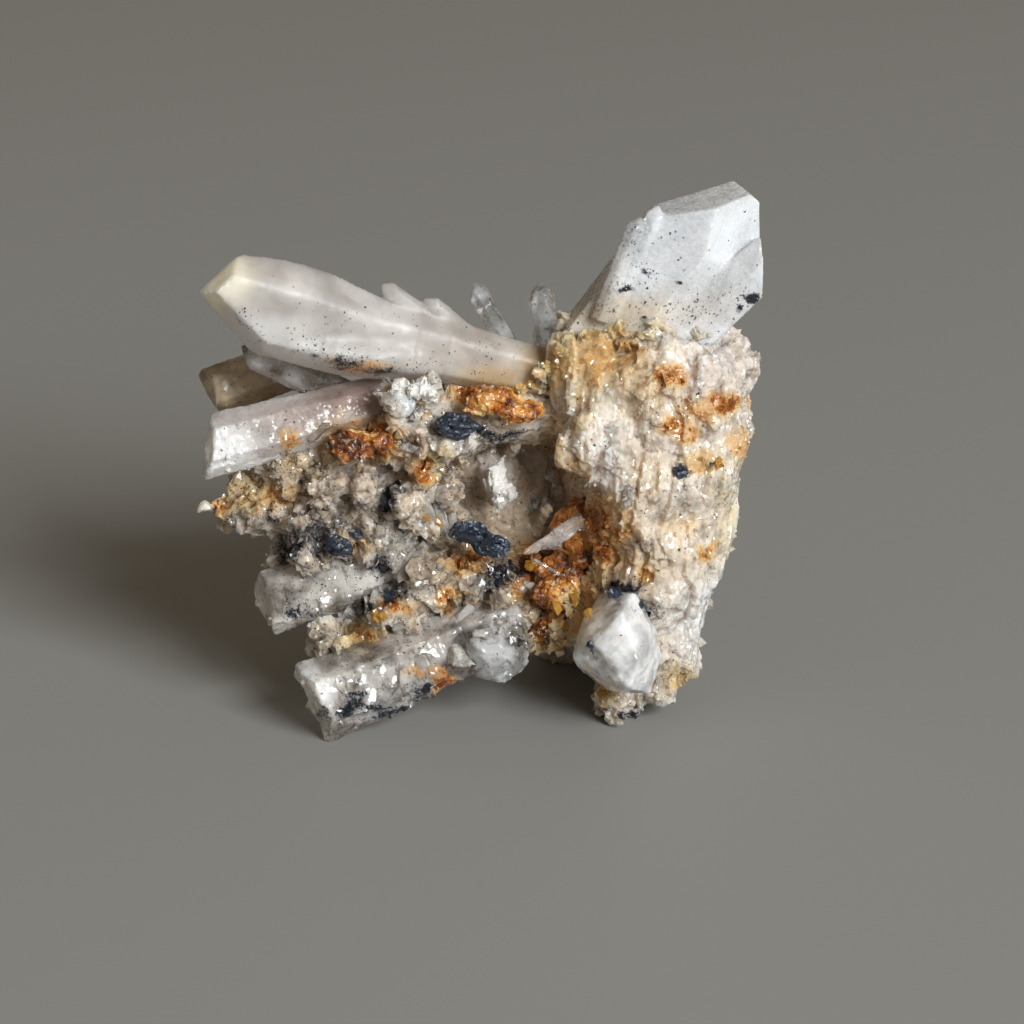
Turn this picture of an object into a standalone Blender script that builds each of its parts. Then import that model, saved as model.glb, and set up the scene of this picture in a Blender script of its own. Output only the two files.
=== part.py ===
"""Limonite with quartz: a hand specimen about 70 mm wide, broken from a vein.

Milky quartz crystals stand out of a mass of sugary quartz. Brown and orange limonite fills its
hollow and seams, and a few black oxide lumps sit on it. The specimen rests on three small flats.

Places are laid out on the face that the specimen shows best. In that face u runs right and v runs
up, in millimetres from the face's middle, and y runs back into the specimen. sight() turns such a
place into a point, as an eye sees it from EYE_DISTANCE away and EYE_ELEVATION above the table.
"""

import math
import random
from dataclasses import dataclass

import bmesh
import bpy
from mathutils import Matrix
from mathutils import Vector
from mathutils import noise

# Driving dimensions, in millimetres and degrees
EYE_DISTANCE = 450.0
EYE_ELEVATION = math.radians(20.0)
FLOOR = -27.5
FIT_GAP = 0.3
RHOMB_SLOPE = math.radians(51.8)
MILLIMETRE = 0.001

# The broken surface of the mass: its blocks' size, how far they lean and step, the pitches of the
# noise that leans and steps them, and the fineness of its skin and faces
BLOCK = 4.6
BLOCK_LEAN = 0.34
BLOCK_STEP = 0.55
LEAN_PITCHES = (5.3, 7.1, 9.7)
STEP_PITCH = 3.1
SKIN = 0.8
MASS_FACES = 2500

# The block that cuts the specimen off level at the floor: half its side, and its depth
BELOW_REACH = 60.0
BELOW_DEPTH = 20.0

# The layout point that becomes the origin: the middle of the specimen's base
BASE_MIDDLE = Vector((-4.28, 5.91, FLOOR))

UP = Vector((0.0, 0.0, 1.0))


def sight(u, v, y):
    """The point y behind the middle plane that is seen at (u, v) of the display face."""
    reach = EYE_DISTANCE * math.cos(EYE_ELEVATION)
    rise = EYE_DISTANCE * math.sin(EYE_ELEVATION)
    t = (y + reach) / (reach + v * math.sin(EYE_ELEVATION))
    return Vector((t * u, y, rise + t * (v * math.cos(EYE_ELEVATION) - rise)))


def place(where):
    """A place of the display face as a point, or a point as it is."""
    return where if isinstance(where, Vector) else sight(*where)


def hull(points):
    """The convex solid around these points."""
    bm = bmesh.new()
    for point in points:
        bm.verts.new(point)
    made = bmesh.ops.convex_hull(bm, input=bm.verts)
    inside = [v for v in made["geom_interior"] + made["geom_unused"] if isinstance(v, bmesh.types.BMVert)]
    bmesh.ops.delete(bm, geom=list(dict.fromkeys(inside)), context="VERTS")
    bmesh.ops.recalc_face_normals(bm, faces=bm.faces)
    return bm


def slice_off(bm, point, normal):
    """Cuts away what lies beyond a plane and closes the cut, on a convex solid."""
    geometry = bm.verts[:] + bm.edges[:] + bm.faces[:]
    cut = bmesh.ops.bisect_plane(
        bm, geom=geometry, plane_co=point, plane_no=normal, clear_outer=True, dist=1e-6
    )
    edges = [e for e in cut["geom_cut"] if isinstance(e, bmesh.types.BMEdge)]
    if len(edges) > 2:
        bmesh.ops.contextual_create(bm, geom=edges)


@dataclass
class Lump:
    """A chunk of broken or sugary quartz: an ellipsoid with flat facets."""

    at: tuple
    radii: tuple
    facets: int = 30
    seed: int = 0
    rough: float = 0.16

    def solid(self, grow=0.0):
        dice = random.Random(self.seed)
        middle = place(self.at)
        golden = math.pi * (3.0 - math.sqrt(5.0))
        points = []
        for i in range(self.facets):
            height = 1.0 - 2.0 * (i + 0.5) / self.facets
            ring = math.sqrt(1.0 - height * height)
            turn = golden * i + dice.uniform(-0.35, 0.35)
            reach = 1.0 + dice.uniform(-self.rough, self.rough)
            way = Vector((ring * math.cos(turn), ring * math.sin(turn), height)) * reach
            points.append(middle + Vector([w * (r + grow) for w, r in zip(way, self.box_radii())]))
        return hull(points)

    def box_radii(self):
        across, high, deep = self.radii
        return across, deep, high


@dataclass
class Crystal:
    """A six-sided quartz crystal, with its width up the display face and its thickness as a share of that.

    A pointed one ends in six rhomb faces that meet at the tip, and a broken one in rough planes. One
    with faces of its own ends in those instead, each a plane through three places.
    """

    root: tuple
    tip: tuple
    width: float
    root_width: float = 0.0
    thick: float = 0.85
    roll: float = 0.0
    uneven: float = 0.25
    broken: bool = False
    seed: int = 0
    edges: tuple = (0.0, 60.0, 120.0, 180.0, 240.0, 300.0)
    faces: tuple = ()

    def solid(self, grow=0.0):
        dice = random.Random(self.seed)
        root = place(self.root)
        tip = place(self.tip)
        along = (tip - root).normalized()
        side = (UP - along * along.dot(UP)).normalized()
        deep = along.cross(side).normalized()
        end_radius = self.width / 2.0
        root_radius = (self.root_width or self.width) / 2.0
        length = (tip - root).length
        corners = []
        for edge in self.edges:
            turn = math.radians(self.roll + edge)
            reach = 1.0 + dice.uniform(-0.08, 0.08)
            corners.append((math.cos(turn) * reach, math.sin(turn) * reach * self.thick))
        points = []
        for at, radius in ((-grow, root_radius), (length + end_radius + grow, end_radius)):
            for c, s in corners:
                spread = (side * c + deep * s) * (radius + grow * 1.15)
                points.append(root + along * at + spread)
        bm = hull(points)
        point = tip + along * grow
        if self.faces:
            self.face_end(bm, root, grow)
        elif self.broken:
            self.break_end(bm, dice, point, along, side, deep)
        else:
            self.point_end(bm, dice, point, along, side, deep, grow)
        return bm

    def point_end(self, bm, dice, point, along, side, deep, grow):
        steep = RHOMB_SLOPE
        for i in range(6):
            turn = math.radians(self.roll + 60.0 * i + 30.0)
            out = side * math.cos(turn) + deep * math.sin(turn)
            back = dice.uniform(0.0, self.uneven) * self.width / 2.0
            if i % 2:
                back *= 0.4
            normal = along * math.cos(steep) + out * math.sin(steep)
            slice_off(bm, point - along * back + normal * grow * 0.3, normal)

    def face_end(self, bm, root, grow):
        for corners in self.faces:
            a, b, c = [sight(*corner) for corner in corners]
            normal = (b - a).cross(c - a).normalized()
            if normal.dot(a - root) < 0.0:
                normal.negate()
            slice_off(bm, a + normal * grow, normal)

    def break_end(self, bm, dice, point, along, side, deep):
        for i in range(3):
            lean = side * dice.uniform(-0.55, 0.55) + deep * dice.uniform(-0.55, 0.55)
            back = dice.uniform(0.0, 0.12) * self.width
            slice_off(bm, point - along * back, (along + lean).normalized())


def object_from(bm, name):
    """A mesh object made from a bmesh, which is used up."""
    mesh = bpy.data.meshes.new(name)
    bm.to_mesh(mesh)
    bm.free()
    made = bpy.data.objects.new(name, mesh)
    bpy.context.scene.collection.objects.link(made)
    return made


def combine(target, others, operation):
    """Joins the others to the target or cuts them from it, with one Boolean, and removes them."""
    if not others:
        return
    group = bpy.data.collections.new("operands")
    bpy.context.scene.collection.children.link(group)
    for other in others:
        group.objects.link(other)
    work = target.modifiers.new("combine", "BOOLEAN")
    work.operation = operation
    work.operand_type = "COLLECTION"
    work.collection = group
    work.solver = "EXACT"
    bpy.context.view_layer.update()
    ready = target.evaluated_get(bpy.context.evaluated_depsgraph_get())
    mesh = bpy.data.meshes.new_from_object(ready)
    target.modifiers.remove(work)
    old = target.data
    target.data = mesh
    bpy.data.meshes.remove(old)
    for other in others:
        bpy.data.meshes.remove(other.data)
    bpy.data.collections.remove(group)


def keep_largest(obj):
    """Keeps the biggest closed shell of the mesh, as triangles, and drops crumbs that a cut set free."""
    bm = bmesh.new()
    bm.from_mesh(obj.data)
    bmesh.ops.remove_doubles(bm, verts=bm.verts, dist=0.002)
    bmesh.ops.dissolve_degenerate(bm, edges=bm.edges, dist=0.002)
    bmesh.ops.triangulate(bm, faces=bm.faces)
    unseen = set(bm.verts)
    shells = []
    while unseen:
        front = [unseen.pop()]
        shell = set(front)
        while front:
            near = [e.other_vert(v) for v in front for e in v.link_edges]
            front = [v for v in set(near) if v in unseen]
            unseen.difference_update(front)
            shell.update(front)
        shells.append(shell)
    best = max(shells, key=len)
    bmesh.ops.delete(bm, geom=[v for v in bm.verts if v not in best], context="VERTS")
    bm.to_mesh(obj.data)
    bm.free()


def near(a, b):
    """Whether the boxes of two objects come within a fit gap of each other."""
    for i in range(3):
        reach_a = [v.co[i] for v in a.data.vertices]
        reach_b = [v.co[i] for v in b.data.vertices]
        if min(reach_a) > max(reach_b) + FIT_GAP or min(reach_b) > max(reach_a) + FIT_GAP:
            return False
    return True


# The separate crystals, each in its place on the display face
GREAT_CRYSTAL = [
    Crystal(
        (6.6, 16.9, 3.0),
        (-38.2, 27.0, -5.0),
        12.9,
        6.4,
        thick=0.86,
        edges=(14.0, 72.0, 132.0, 192.0, 238.0, 314.0),
        faces=(
            ((-38.4, 28.4, -5.0), (-33.8, 32.0, -3.6), (-34.6, 28.4, -9.6)),
            ((-37.9, 26.2, -6.0), (-33.2, 20.6, -4.6), (-32.8, 25.6, -10.6)),
            ((-38.4, 28.4, -5.0), (-33.8, 32.0, -3.6), (-34.0, 29.0, 1.5)),
            ((-38.2, 26.6, -5.0), (-33.2, 20.6, -4.6), (-34.4, 24.0, 1.0)),
        ),
        seed=3,
    ),
    Crystal((-6.0, 21.6, 2.5), (-16.4, 28.2, -0.5), 2.2, thick=1.3, seed=5),
    Crystal((-3.0, 20.0, 2.5), (-11.2, 26.8, 0.5), 2.4, thick=1.3, roll=10.0, seed=6),
]
WING_CRYSTAL = [
    Crystal(
        (7.8, 14.2, 3.0),
        (28.6, 39.4, 5.0),
        18.8,
        16.0,
        thick=0.62,
        edges=(28.0, 88.0, 150.0, 208.0, 262.0, 330.0),
        faces=(
            ((18.8, 37.5, 3.0), (29.4, 39.9, 3.5), (24.0, 36.8, -2.5)),
            ((30.2, 39.8, 3.0), (30.8, 32.4, 3.0), (20.6, 32.6, -3.6)),
            ((29.0, 40.3, 4.0), (30.8, 38.9, 4.0), (30.0, 39.6, 8.0)),
            ((30.9, 36.0, 4.0), (31.1, 26.0, 4.0), (30.3, 31.0, 9.0)),
        ),
        seed=8,
    ),
    Crystal(
        (12.0, 14.5, 2.0),
        (30.4, 30.2, 1.0),
        6.6,
        9.4,
        thick=0.9,
        roll=20.0,
        faces=(((30.6, 36.0, 4.0), (30.6, 26.0, 4.0), (29.9, 31.0, 9.0)),),
        seed=7,
    ),
    Crystal((12.5, 24.0, 0.5), (18.6, 38.6, 2.5), 3.0, thick=1.0, roll=15.0, seed=9),
    Crystal((11.0, 24.0, -0.5), (16.2, 37.2, 1.0), 2.6, thick=1.0, seed=10),
]
SMOKY_CRYSTAL = [
    Crystal((-22.0, 20.4, 11.0), (-38.6, 14.6, 8.0), 6.6, thick=0.9, roll=20.0, broken=True, seed=11),
]
GLASSY_CRYSTAL = [
    Crystal((-18.0, 13.0, 3.0), (-34.2, 20.8, -2.0), 4.4, thick=0.8, seed=12),
]
LEFT_STANDING_CRYSTAL = [
    Crystal((1.8, 17.0, 7.0), (-5.0, 28.8, 6.0), 2.8, thick=1.0, roll=20.0, uneven=0.3, seed=13),
]
RIGHT_STANDING_CRYSTAL = [
    Crystal((4.8, 17.0, 5.0), (3.5, 29.0, 4.0), 3.6, thick=0.9, roll=10.0, seed=14),
]
UPPER_LEDGE_CRYSTAL = [
    Crystal((-12.0, 15.0, 1.0), (-39.2, 7.6, -4.0), 8.4, 6.0, thick=0.9, roll=24.0, broken=True, seed=15),
]
MIDDLE_LEDGE_CRYSTAL = [
    Crystal((-12.0, -5.0, 0.0), (-32.0, -11.8, -4.0), 9.0, 7.6, thick=0.85, roll=8.0, broken=True, seed=16),
]
LEFT_FOOT_CRYSTAL = [
    Crystal((1.0, -13.4, -1.0), (-26.0, -24.4, -7.5), 11.6, 8.6, thick=0.9, roll=16.0, broken=True, seed=17),
]
SPIKE_CRYSTAL = [
    Crystal((8.8, -1.2, -1.4), (1.2, -5.4, -4.8), 0.9, 2.7, thick=0.9, seed=101),
]
FACET_CRYSTAL = [
    Crystal((-1.6, -17.6, -2.0), (-5.2, -15.4, -9.0), 8.2, 9.0, thick=1.0, roll=25.0, uneven=0.6, seed=18),
]
RIGHT_FOOT_CRYSTAL = [
    Lump((13.4, -16.6, -7.0), (5.8, 7.0, 6.5), 22, seed=19),
]

# The dark oxide lumps and the limonite
DARK_LUMPS = {
    "dark_lump_upper": [Lump((-7.2, 10.6, -6.0), (2.9, 1.8, 2.2), 20, seed=31)],
    "dark_lump_lower": [
        Lump((-5.6, -2.8, -2.5), (2.6, 1.2, 1.8), 18, seed=32),
        Lump((-2.6, -4.2, -2.5), (3.0, 1.5, 2.0), 18, seed=33),
    ],
    "dark_lump_left": [Lump((-21.9, -4.3, -7.6), (2.2, 1.5, 1.8), 20, seed=34)],
}
LIMONITE = {
    "limonite_left": [
        Lump((-19.6, 8.6, -5.0), (3.6, 2.2, 3.0), 20, seed=41),
        Lump((-16.4, 9.4, -5.0), (2.6, 1.8, 2.6), 18, seed=42),
    ],
    "limonite_bridge": [
        Lump((-2.6, 13.6, -4.5), (4.2, 2.2, 3.2), 22, seed=43),
        Lump((1.0, 12.6, -4.0), (3.4, 1.9, 3.0), 20, seed=44),
    ],
    "limonite_hollow": [
        Lump((8.6, -2.6, 3.0), (3.8, 5.2, 4.0), 24, seed=45),
        Lump((5.8, -9.6, 1.5), (4.0, 4.2, 4.0), 24, seed=46),
        Lump((4.4, -14.0, 2.5), (3.6, 3.0, 4.0), 22, seed=47),
    ],
}

# The hollow's crust: a bed on its back wall, the crystals on the bed and the white shard that hangs there
HOLLOW_CRUST = [
    Lump((-3.4, 1.6, 7.4), (6.2, 8.6, 1.7), 26, seed=81),
    Lump((2.6, -4.6, 8.0), (5.4, 5.6, 1.7), 22, seed=82),
    Crystal((-3.6, 6.4, 7.4), (-1.6, 1.0, 2.0), 3.6, 4.0, thick=0.6, broken=True, seed=83),
    Crystal((-8.4, 1.8, 7.0), (-9.6, 6.0, 1.4), 1.9, seed=84),
    Crystal((-8.0, 0.4, 7.0), (-10.8, 2.6, 0.6), 2.2, seed=85),
    Crystal((-7.6, -1.4, 7.0), (-10.0, -1.4, 1.2), 1.8, seed=86),
    Crystal((-6.2, 5.4, 7.6), (-6.8, 8.4, 2.6), 1.7, seed=87),
    Crystal((-1.0, 7.0, 8.0), (0.8, 8.6, 2.4), 1.9, seed=88),
    Crystal((3.6, -1.8, 7.6), (4.4, 0.8, 2.6), 1.6, seed=90),
    Crystal((3.6, -6.4, 7.6), (3.0, -6.0, 2.6), 1.6, seed=93),
]

# The sugary mass: lumps that run into each other, right side first, then left, then the back
MASS = [
    Lump((17.9, 15.4, 2.0), (11.4, 9.5, 9.5), 40, seed=51),
    Lump((19.0, 5.6, 1.0), (9.8, 9.4, 11.0), 40, seed=52),
    Lump((18.2, -5.0, 1.0), (8.6, 9.4, 10.8), 40, seed=53),
    Lump((17.0, -14.0, 3.0), (7.0, 9.6, 9.0), 34, seed=54),
    Lump((9.4, 17.0, 1.0), (6.0, 6.6, 7.0), 28, seed=55),
    Lump((11.0, 9.6, -2.0), (5.6, 6.6, 7.0), 28, seed=56),
    Lump((25.0, 17.4, 3.0), (5.4, 6.6, 7.0), 26, seed=57),
    Lump((25.4, 20.8, 2.4), (3.6, 4.0, 4.6), 22, seed=83),
    Lump((12.8, -23.6, 0.0), (3.4, 5.0, 4.4), 20, seed=58),
    Lump((13.6, 0.6, 2.0), (6.0, 7.0, 9.0), 28, seed=75),
    Lump((23.4, 11.0, 3.0), (6.6, 8.0, 9.0), 30, seed=76),
    Lump((22.6, -1.0, 3.0), (5.6, 9.0, 8.0), 30, seed=77),
    Lump((20.0, -17.6, 4.0), (3.4, 4.4, 5.0), 22, seed=78),
    Lump((2.2, -1.0, 14.5), (11.5, 13.5, 7.0), 34, seed=59),
    Lump((-2.7, 12.8, 4.0), (10.5, 4.6, 7.5), 30, seed=60),
    Lump((-11.5, 10.8, 2.0), (7.6, 5.4, 8.5), 28, seed=61),
    Lump((-24.4, 5.4, 3.0), (10.0, 5.0, 7.5), 30, seed=62),
    Lump((-31.0, 0.4, 0.0), (7.0, 3.2, 4.8), 24, seed=63),
    Lump((-22.0, -0.6, 1.0), (9.6, 5.4, 8.5), 30, seed=64),
    Lump((-12.7, 2.0, 6.0), (7.0, 9.0, 7.0), 28, seed=65),
    Lump((-14.0, -8.5, 2.0), (8.6, 5.2, 7.5), 28, seed=66),
    Lump((-24.6, -5.6, -0.5), (6.0, 3.0, 5.0), 22, seed=79),
    Lump((-5.2, -9.7, 3.5), (7.6, 5.6, 7.5), 28, seed=67),
    Lump((1.0, -13.5, 5.0), (6.0, 4.6, 7.0), 24, seed=68),
    Lump((9.1, -11.0, 6.0), (7.0, 7.0, 7.5), 28, seed=69),
    Lump((-20.4, -16.2, -2.0), (5.4, 3.4, 4.4), 22, seed=70),
    Lump((-6.0, 4.0, 15.0), (14.0, 10.5, 6.5), 32, seed=71),
    Lump((13.5, 6.5, 12.0), (10.0, 12.5, 8.5), 32, seed=72),
    Lump((-17.0, 2.0, 11.0), (10.0, 8.0, 6.5), 28, seed=73),
    Lump((13.0, -14.0, 13.0), (7.5, 7.0, 7.5), 26, seed=74),
    Lump((6.4, -12.4, 18.0), (4.6, 6.6, 5.0), 24, seed=80),
    Crystal((25.4, 12.0, 4.0), (20.8, -16.6, 5.0), 6.2, thick=1.3, broken=True, seed=94),
    Crystal((14.0, 17.0, -1.5), (7.4, 4.6, -4.4), 6.0, thick=0.8, broken=True, seed=95),
    Crystal((16.6, 14.0, -3.4), (12.0, 4.6, -6.2), 5.6, thick=0.8, broken=True, seed=96),
]

# Small crystals and points that stand out of the mass and are one with it
POINTS = [
    Crystal((7.6, 2.0, 3.0), (6.6, -3.2, 0.0), 2.2, seed=102),
    Crystal((-9.6, 11.6, -2.0), (-15.4, 15.6, -7.0), 3.4, uneven=0.5, seed=103),
    Crystal((-10.4, 12.6, -2.0), (-11.0, 17.0, -7.6), 2.6, uneven=0.5, seed=104),
    Crystal((-12.0, 10.8, -2.0), (-15.2, 11.8, -7.6), 2.8, uneven=0.5, seed=106),
    Crystal((-13.0, 8.6, 0.0), (-10.4, 3.6, -5.4), 3.2, thick=1.1, broken=True, seed=108),
    Crystal((-13.0, -3.0, 0.0), (-13.4, 3.0, -5.0), 3.6, broken=True, seed=109),
    Crystal((-17.0, 0.0, 0.0), (-18.8, 4.2, -8.6), 3.0, uneven=0.4, seed=110),
    Crystal((-20.0, 1.0, 0.0), (-24.4, 2.6, -8.4), 3.2, uneven=0.4, seed=111),
    Crystal((-26.0, 0.0, 0.0), (-34.6, -0.6, -5.0), 3.0, uneven=0.4, seed=113),
    Crystal((-22.0, -4.0, 0.0), (-28.0, -4.8, -6.6), 3.6, thick=1.0, broken=True, seed=114),
    Crystal((-16.0, -2.0, 1.0), (-15.4, -5.0, -7.4), 3.4, uneven=0.4, seed=115),
    Crystal((-13.0, -9.0, 0.0), (-11.0, -6.4, -7.0), 3.6, uneven=0.4, seed=116),
    Crystal((-10.0, -12.0, 0.0), (-17.4, -13.4, -8.0), 3.4, thick=1.0, broken=True, seed=117),
    Crystal((-2.0, -12.0, 1.0), (-0.6, -9.6, -5.8), 3.0, uneven=0.4, seed=119),
    Crystal((6.6, -13.6, 3.0), (4.4, -19.6, -1.4), 2.8, uneven=0.4, seed=120),
    Crystal((18.0, 14.0, 0.0), (19.6, 16.6, -9.6), 3.8, uneven=0.5, seed=122),
    Crystal((22.0, 16.0, 0.0), (26.0, 19.0, -6.8), 3.6, uneven=0.5, seed=123),
    Crystal((22.0, 10.0, 0.0), (26.0, 11.4, -8.2), 3.8, uneven=0.5, seed=124),
    Crystal((16.0, 2.0, 0.0), (14.2, 4.0, -9.6), 3.8, uneven=0.5, seed=126),
    Crystal((20.0, 2.0, 0.0), (22.0, 3.4, -10.0), 3.8, uneven=0.5, seed=127),
    Crystal((18.0, -4.0, 0.0), (16.2, -2.4, -10.4), 3.6, uneven=0.5, seed=128),
    Crystal((20.0, -12.0, 0.0), (22.0, -11.6, -6.2), 3.4, thick=1.0, broken=True, seed=131),
    Crystal((26.0, 16.0, 4.0), (30.2, 20.2, 2.0), 4.2, thick=1.0, broken=True, seed=132),
    Crystal((25.0, 10.0, 4.0), (29.8, 12.4, 2.6), 5.6, thick=1.2, broken=True, seed=133),
]


def behind(x, y, z):
    """A place on the back and sides that the display face doesn't show, as a point."""
    return Vector((x, y, z))


BACK_POINTS = [
    Crystal(behind(10.0, 14.0, 16.0), behind(16.0, 24.6, 27.0), 7.6, thick=0.9, roll=12.0, seed=141),
    Crystal(behind(4.0, 14.0, 12.0), behind(0.0, 25.4, 22.0), 6.4, thick=0.9, roll=25.0, seed=142),
    Crystal(behind(-8.0, 14.0, 10.0), behind(-18.0, 23.4, 17.0), 6.8, thick=0.9, seed=143),
    Crystal(behind(-14.0, 12.0, 3.0), behind(-30.0, 18.0, 4.0), 6.6, thick=0.9, roll=20.0, broken=True, seed=144),
    Crystal(behind(-10.0, 12.0, -5.0), behind(-24.0, 20.0, -9.0), 6.0, thick=0.9, roll=8.0, seed=145),
    Crystal(behind(2.0, 14.0, -4.0), behind(-4.0, 25.6, -5.0), 6.8, thick=0.9, roll=16.0, broken=True, seed=146),
    Crystal(behind(14.0, 14.0, 0.0), behind(19.0, 24.6, -2.0), 6.6, thick=0.9, roll=4.0, seed=147),
    Crystal(behind(20.0, 10.0, 10.0), behind(27.6, 19.0, 13.0), 6.4, thick=0.9, roll=10.0, seed=148),
    Crystal(behind(8.0, 14.0, 6.0), behind(11.0, 25.0, 9.0), 5.2, thick=0.9, seed=149),
    Crystal(behind(12.0, 12.0, -14.0), behind(17.0, 22.4, -15.0), 5.6, thick=0.9, roll=18.0, broken=True, seed=151),
    Lump(behind(7.0, 19.0, -23.0), (4.0, 7.0, 3.6), 22, seed=152),
]


def solids_of(parts, grow=0.0):
    return [object_from(part.solid(grow), "operand") for part in parts]


def fit(obj, earlier):
    """Cuts the room that the nodes made before it need out of a solid, and the floor."""
    cutters = []
    for cutter in solids_of(earlier, FIT_GAP):
        if near(obj, cutter):
            cutters.append(cutter)
        else:
            bpy.data.meshes.remove(cutter.data)
    combine(obj, cutters, "DIFFERENCE")
    if min(v.co.z for v in obj.data.vertices) < FLOOR:
        sides = (-BELOW_REACH, BELOW_REACH)
        corners = [Vector((x, y, z)) for x in sides for y in sides for z in (FLOOR - BELOW_DEPTH, FLOOR)]
        combine(obj, [object_from(hull(corners), "below")], "DIFFERENCE")


def build(name, parts, earlier):
    """A node: its parts joined in one solid, less the room of the nodes made before it."""
    first, *others = solids_of(parts)
    first.name = name
    combine(first, others, "UNION")
    fit(first, earlier)
    keep_largest(first)
    return first


def reshape(obj, kind, **settings):
    """Applies one modifier with these settings to the object's mesh."""
    work = obj.modifiers.new("reshape", kind)
    for key, value in settings.items():
        setattr(work, key, value)
    bpy.context.view_layer.update()
    ready = obj.evaluated_get(bpy.context.evaluated_depsgraph_get())
    mesh = bpy.data.meshes.new_from_object(ready)
    obj.modifiers.remove(work)
    old = obj.data
    obj.data = mesh
    bpy.data.meshes.remove(old)


def break_up(obj):
    """Turns a smooth skin into blocks with flat faces, each with its own lean and its own step."""
    normals = [Vector() for _ in obj.data.vertices]
    for face in obj.data.polygons:
        for i in face.vertices:
            normals[i] += face.normal * face.area
    for vert, normal in zip(obj.data.vertices, normals):
        heart = noise.voronoi(vert.co / BLOCK)[1][0]
        lean = Vector([noise.noise(heart * pitch) for pitch in LEAN_PITCHES])
        step = noise.noise(heart * STEP_PITCH) * BLOCK_STEP
        shift = (vert.co / BLOCK - heart).dot(lean) * BLOCK_LEAN * BLOCK
        vert.co += normal.normalized() * (shift + step)


def build_mass(name, earlier):
    """The mass: its lumps melted into one skin, broken up, with its small crystals joined to it."""
    first, *others = solids_of(MASS)
    first.name = name
    bm = bmesh.new()
    for lump in (first, *others):
        bm.from_mesh(lump.data)
    for lump in others:
        bpy.data.meshes.remove(lump.data)
    bm.to_mesh(first.data)
    bm.free()
    reshape(first, "REMESH", mode="VOXEL", voxel_size=SKIN)
    break_up(first)
    reshape(first, "DECIMATE", ratio=MASS_FACES / (2 * len(first.data.polygons)))
    keep_largest(first)
    combine(first, solids_of(POINTS + BACK_POINTS), "UNION")
    fit(first, earlier)
    keep_largest(first)
    return first


# Colour, roughness and metallic value of each material
MILKY = ("milky_quartz", (0.66, 0.62, 0.57), 0.30, 0.0)
CLEAR = ("clear_quartz", (0.72, 0.72, 0.71), 0.12, 0.0)
SMOKY = ("smoky_quartz", (0.38, 0.33, 0.26), 0.22, 0.0)
SUGARY = ("sugary_quartz", (0.62, 0.56, 0.48), 0.55, 0.0)
OXIDE = ("black_oxide", (0.018, 0.021, 0.032), 0.35, 0.55)
RUST = ("limonite", (0.36, 0.13, 0.03), 0.80, 0.0)


def paint(obj, look):
    """Gives the object a material of its own."""
    name, colour, roughness, metallic = look
    material = bpy.data.materials.new(f"{obj.name}_{name}")
    material.use_nodes = True
    shader = material.node_tree.nodes["Principled BSDF"]
    shader.inputs["Base Color"].default_value = (*colour, 1.0)
    shader.inputs["Roughness"].default_value = roughness
    shader.inputs["Metallic"].default_value = metallic
    material.diffuse_color = (*colour, 1.0)
    obj.data.materials.clear()
    obj.data.materials.append(material)


def main():
    for old in list(bpy.data.objects):
        bpy.data.objects.remove(old)
    nodes = {
        "great_crystal": (GREAT_CRYSTAL, MILKY),
        "wing_crystal": (WING_CRYSTAL, MILKY),
        "upper_ledge_crystal": (UPPER_LEDGE_CRYSTAL, MILKY),
        "middle_ledge_crystal": (MIDDLE_LEDGE_CRYSTAL, MILKY),
        "left_foot_crystal": (LEFT_FOOT_CRYSTAL, CLEAR),
        "right_foot_crystal": (RIGHT_FOOT_CRYSTAL, CLEAR),
        "facet_crystal": (FACET_CRYSTAL, CLEAR),
        "spike_crystal": (SPIKE_CRYSTAL, CLEAR),
        "smoky_crystal": (SMOKY_CRYSTAL, SMOKY),
        "glassy_crystal": (GLASSY_CRYSTAL, CLEAR),
        "left_standing_crystal": (LEFT_STANDING_CRYSTAL, CLEAR),
        "right_standing_crystal": (RIGHT_STANDING_CRYSTAL, CLEAR),
    }
    nodes |= {name: (parts, OXIDE) for name, parts in DARK_LUMPS.items()}
    nodes |= {name: (parts, RUST) for name, parts in LIMONITE.items()}
    nodes["hollow_crust"] = (HOLLOW_CRUST, CLEAR)
    earlier = []
    for name, (parts, look) in nodes.items():
        paint(build(name, parts, earlier), look)
        earlier += parts
    paint(build_mass("quartz_mass", earlier), SUGARY)
    to_base = Matrix.Scale(MILLIMETRE, 4) @ Matrix.Translation(-BASE_MIDDLE)
    for made in bpy.data.objects:
        made.data.transform(to_base)


main()
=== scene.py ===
"""Limonite with quartz, a hand specimen 70 mm wide: the finish of every piece over its CAD model.

Each solid of the frame is copied, made fine, and given its broken, striated or sugary surface. Small
crystals, limonite grains and black oxide specks are then scattered over them by one node tree.
Stains, specks and milky places are given on the specimen's display face: u runs right and v runs up,
in millimetres from the face's middle, as an eye sees them from EYE_DISTANCE away.
"""

import math

import bmesh
import bpy
import numpy as np
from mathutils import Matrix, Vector
from mathutils.bvhtree import BVHTree


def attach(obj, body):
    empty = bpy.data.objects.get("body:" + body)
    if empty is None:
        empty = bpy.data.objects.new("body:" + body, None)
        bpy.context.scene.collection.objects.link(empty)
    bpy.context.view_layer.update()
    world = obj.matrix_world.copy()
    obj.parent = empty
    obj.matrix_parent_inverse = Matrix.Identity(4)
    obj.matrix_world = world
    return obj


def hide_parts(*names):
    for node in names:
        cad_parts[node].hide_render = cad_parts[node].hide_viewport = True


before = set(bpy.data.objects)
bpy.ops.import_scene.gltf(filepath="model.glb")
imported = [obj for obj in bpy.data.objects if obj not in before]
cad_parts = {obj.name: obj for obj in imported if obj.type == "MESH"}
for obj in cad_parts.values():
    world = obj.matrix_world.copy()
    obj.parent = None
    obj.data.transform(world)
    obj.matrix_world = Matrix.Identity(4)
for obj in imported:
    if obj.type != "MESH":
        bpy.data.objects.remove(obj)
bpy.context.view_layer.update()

MM = 0.001

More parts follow.
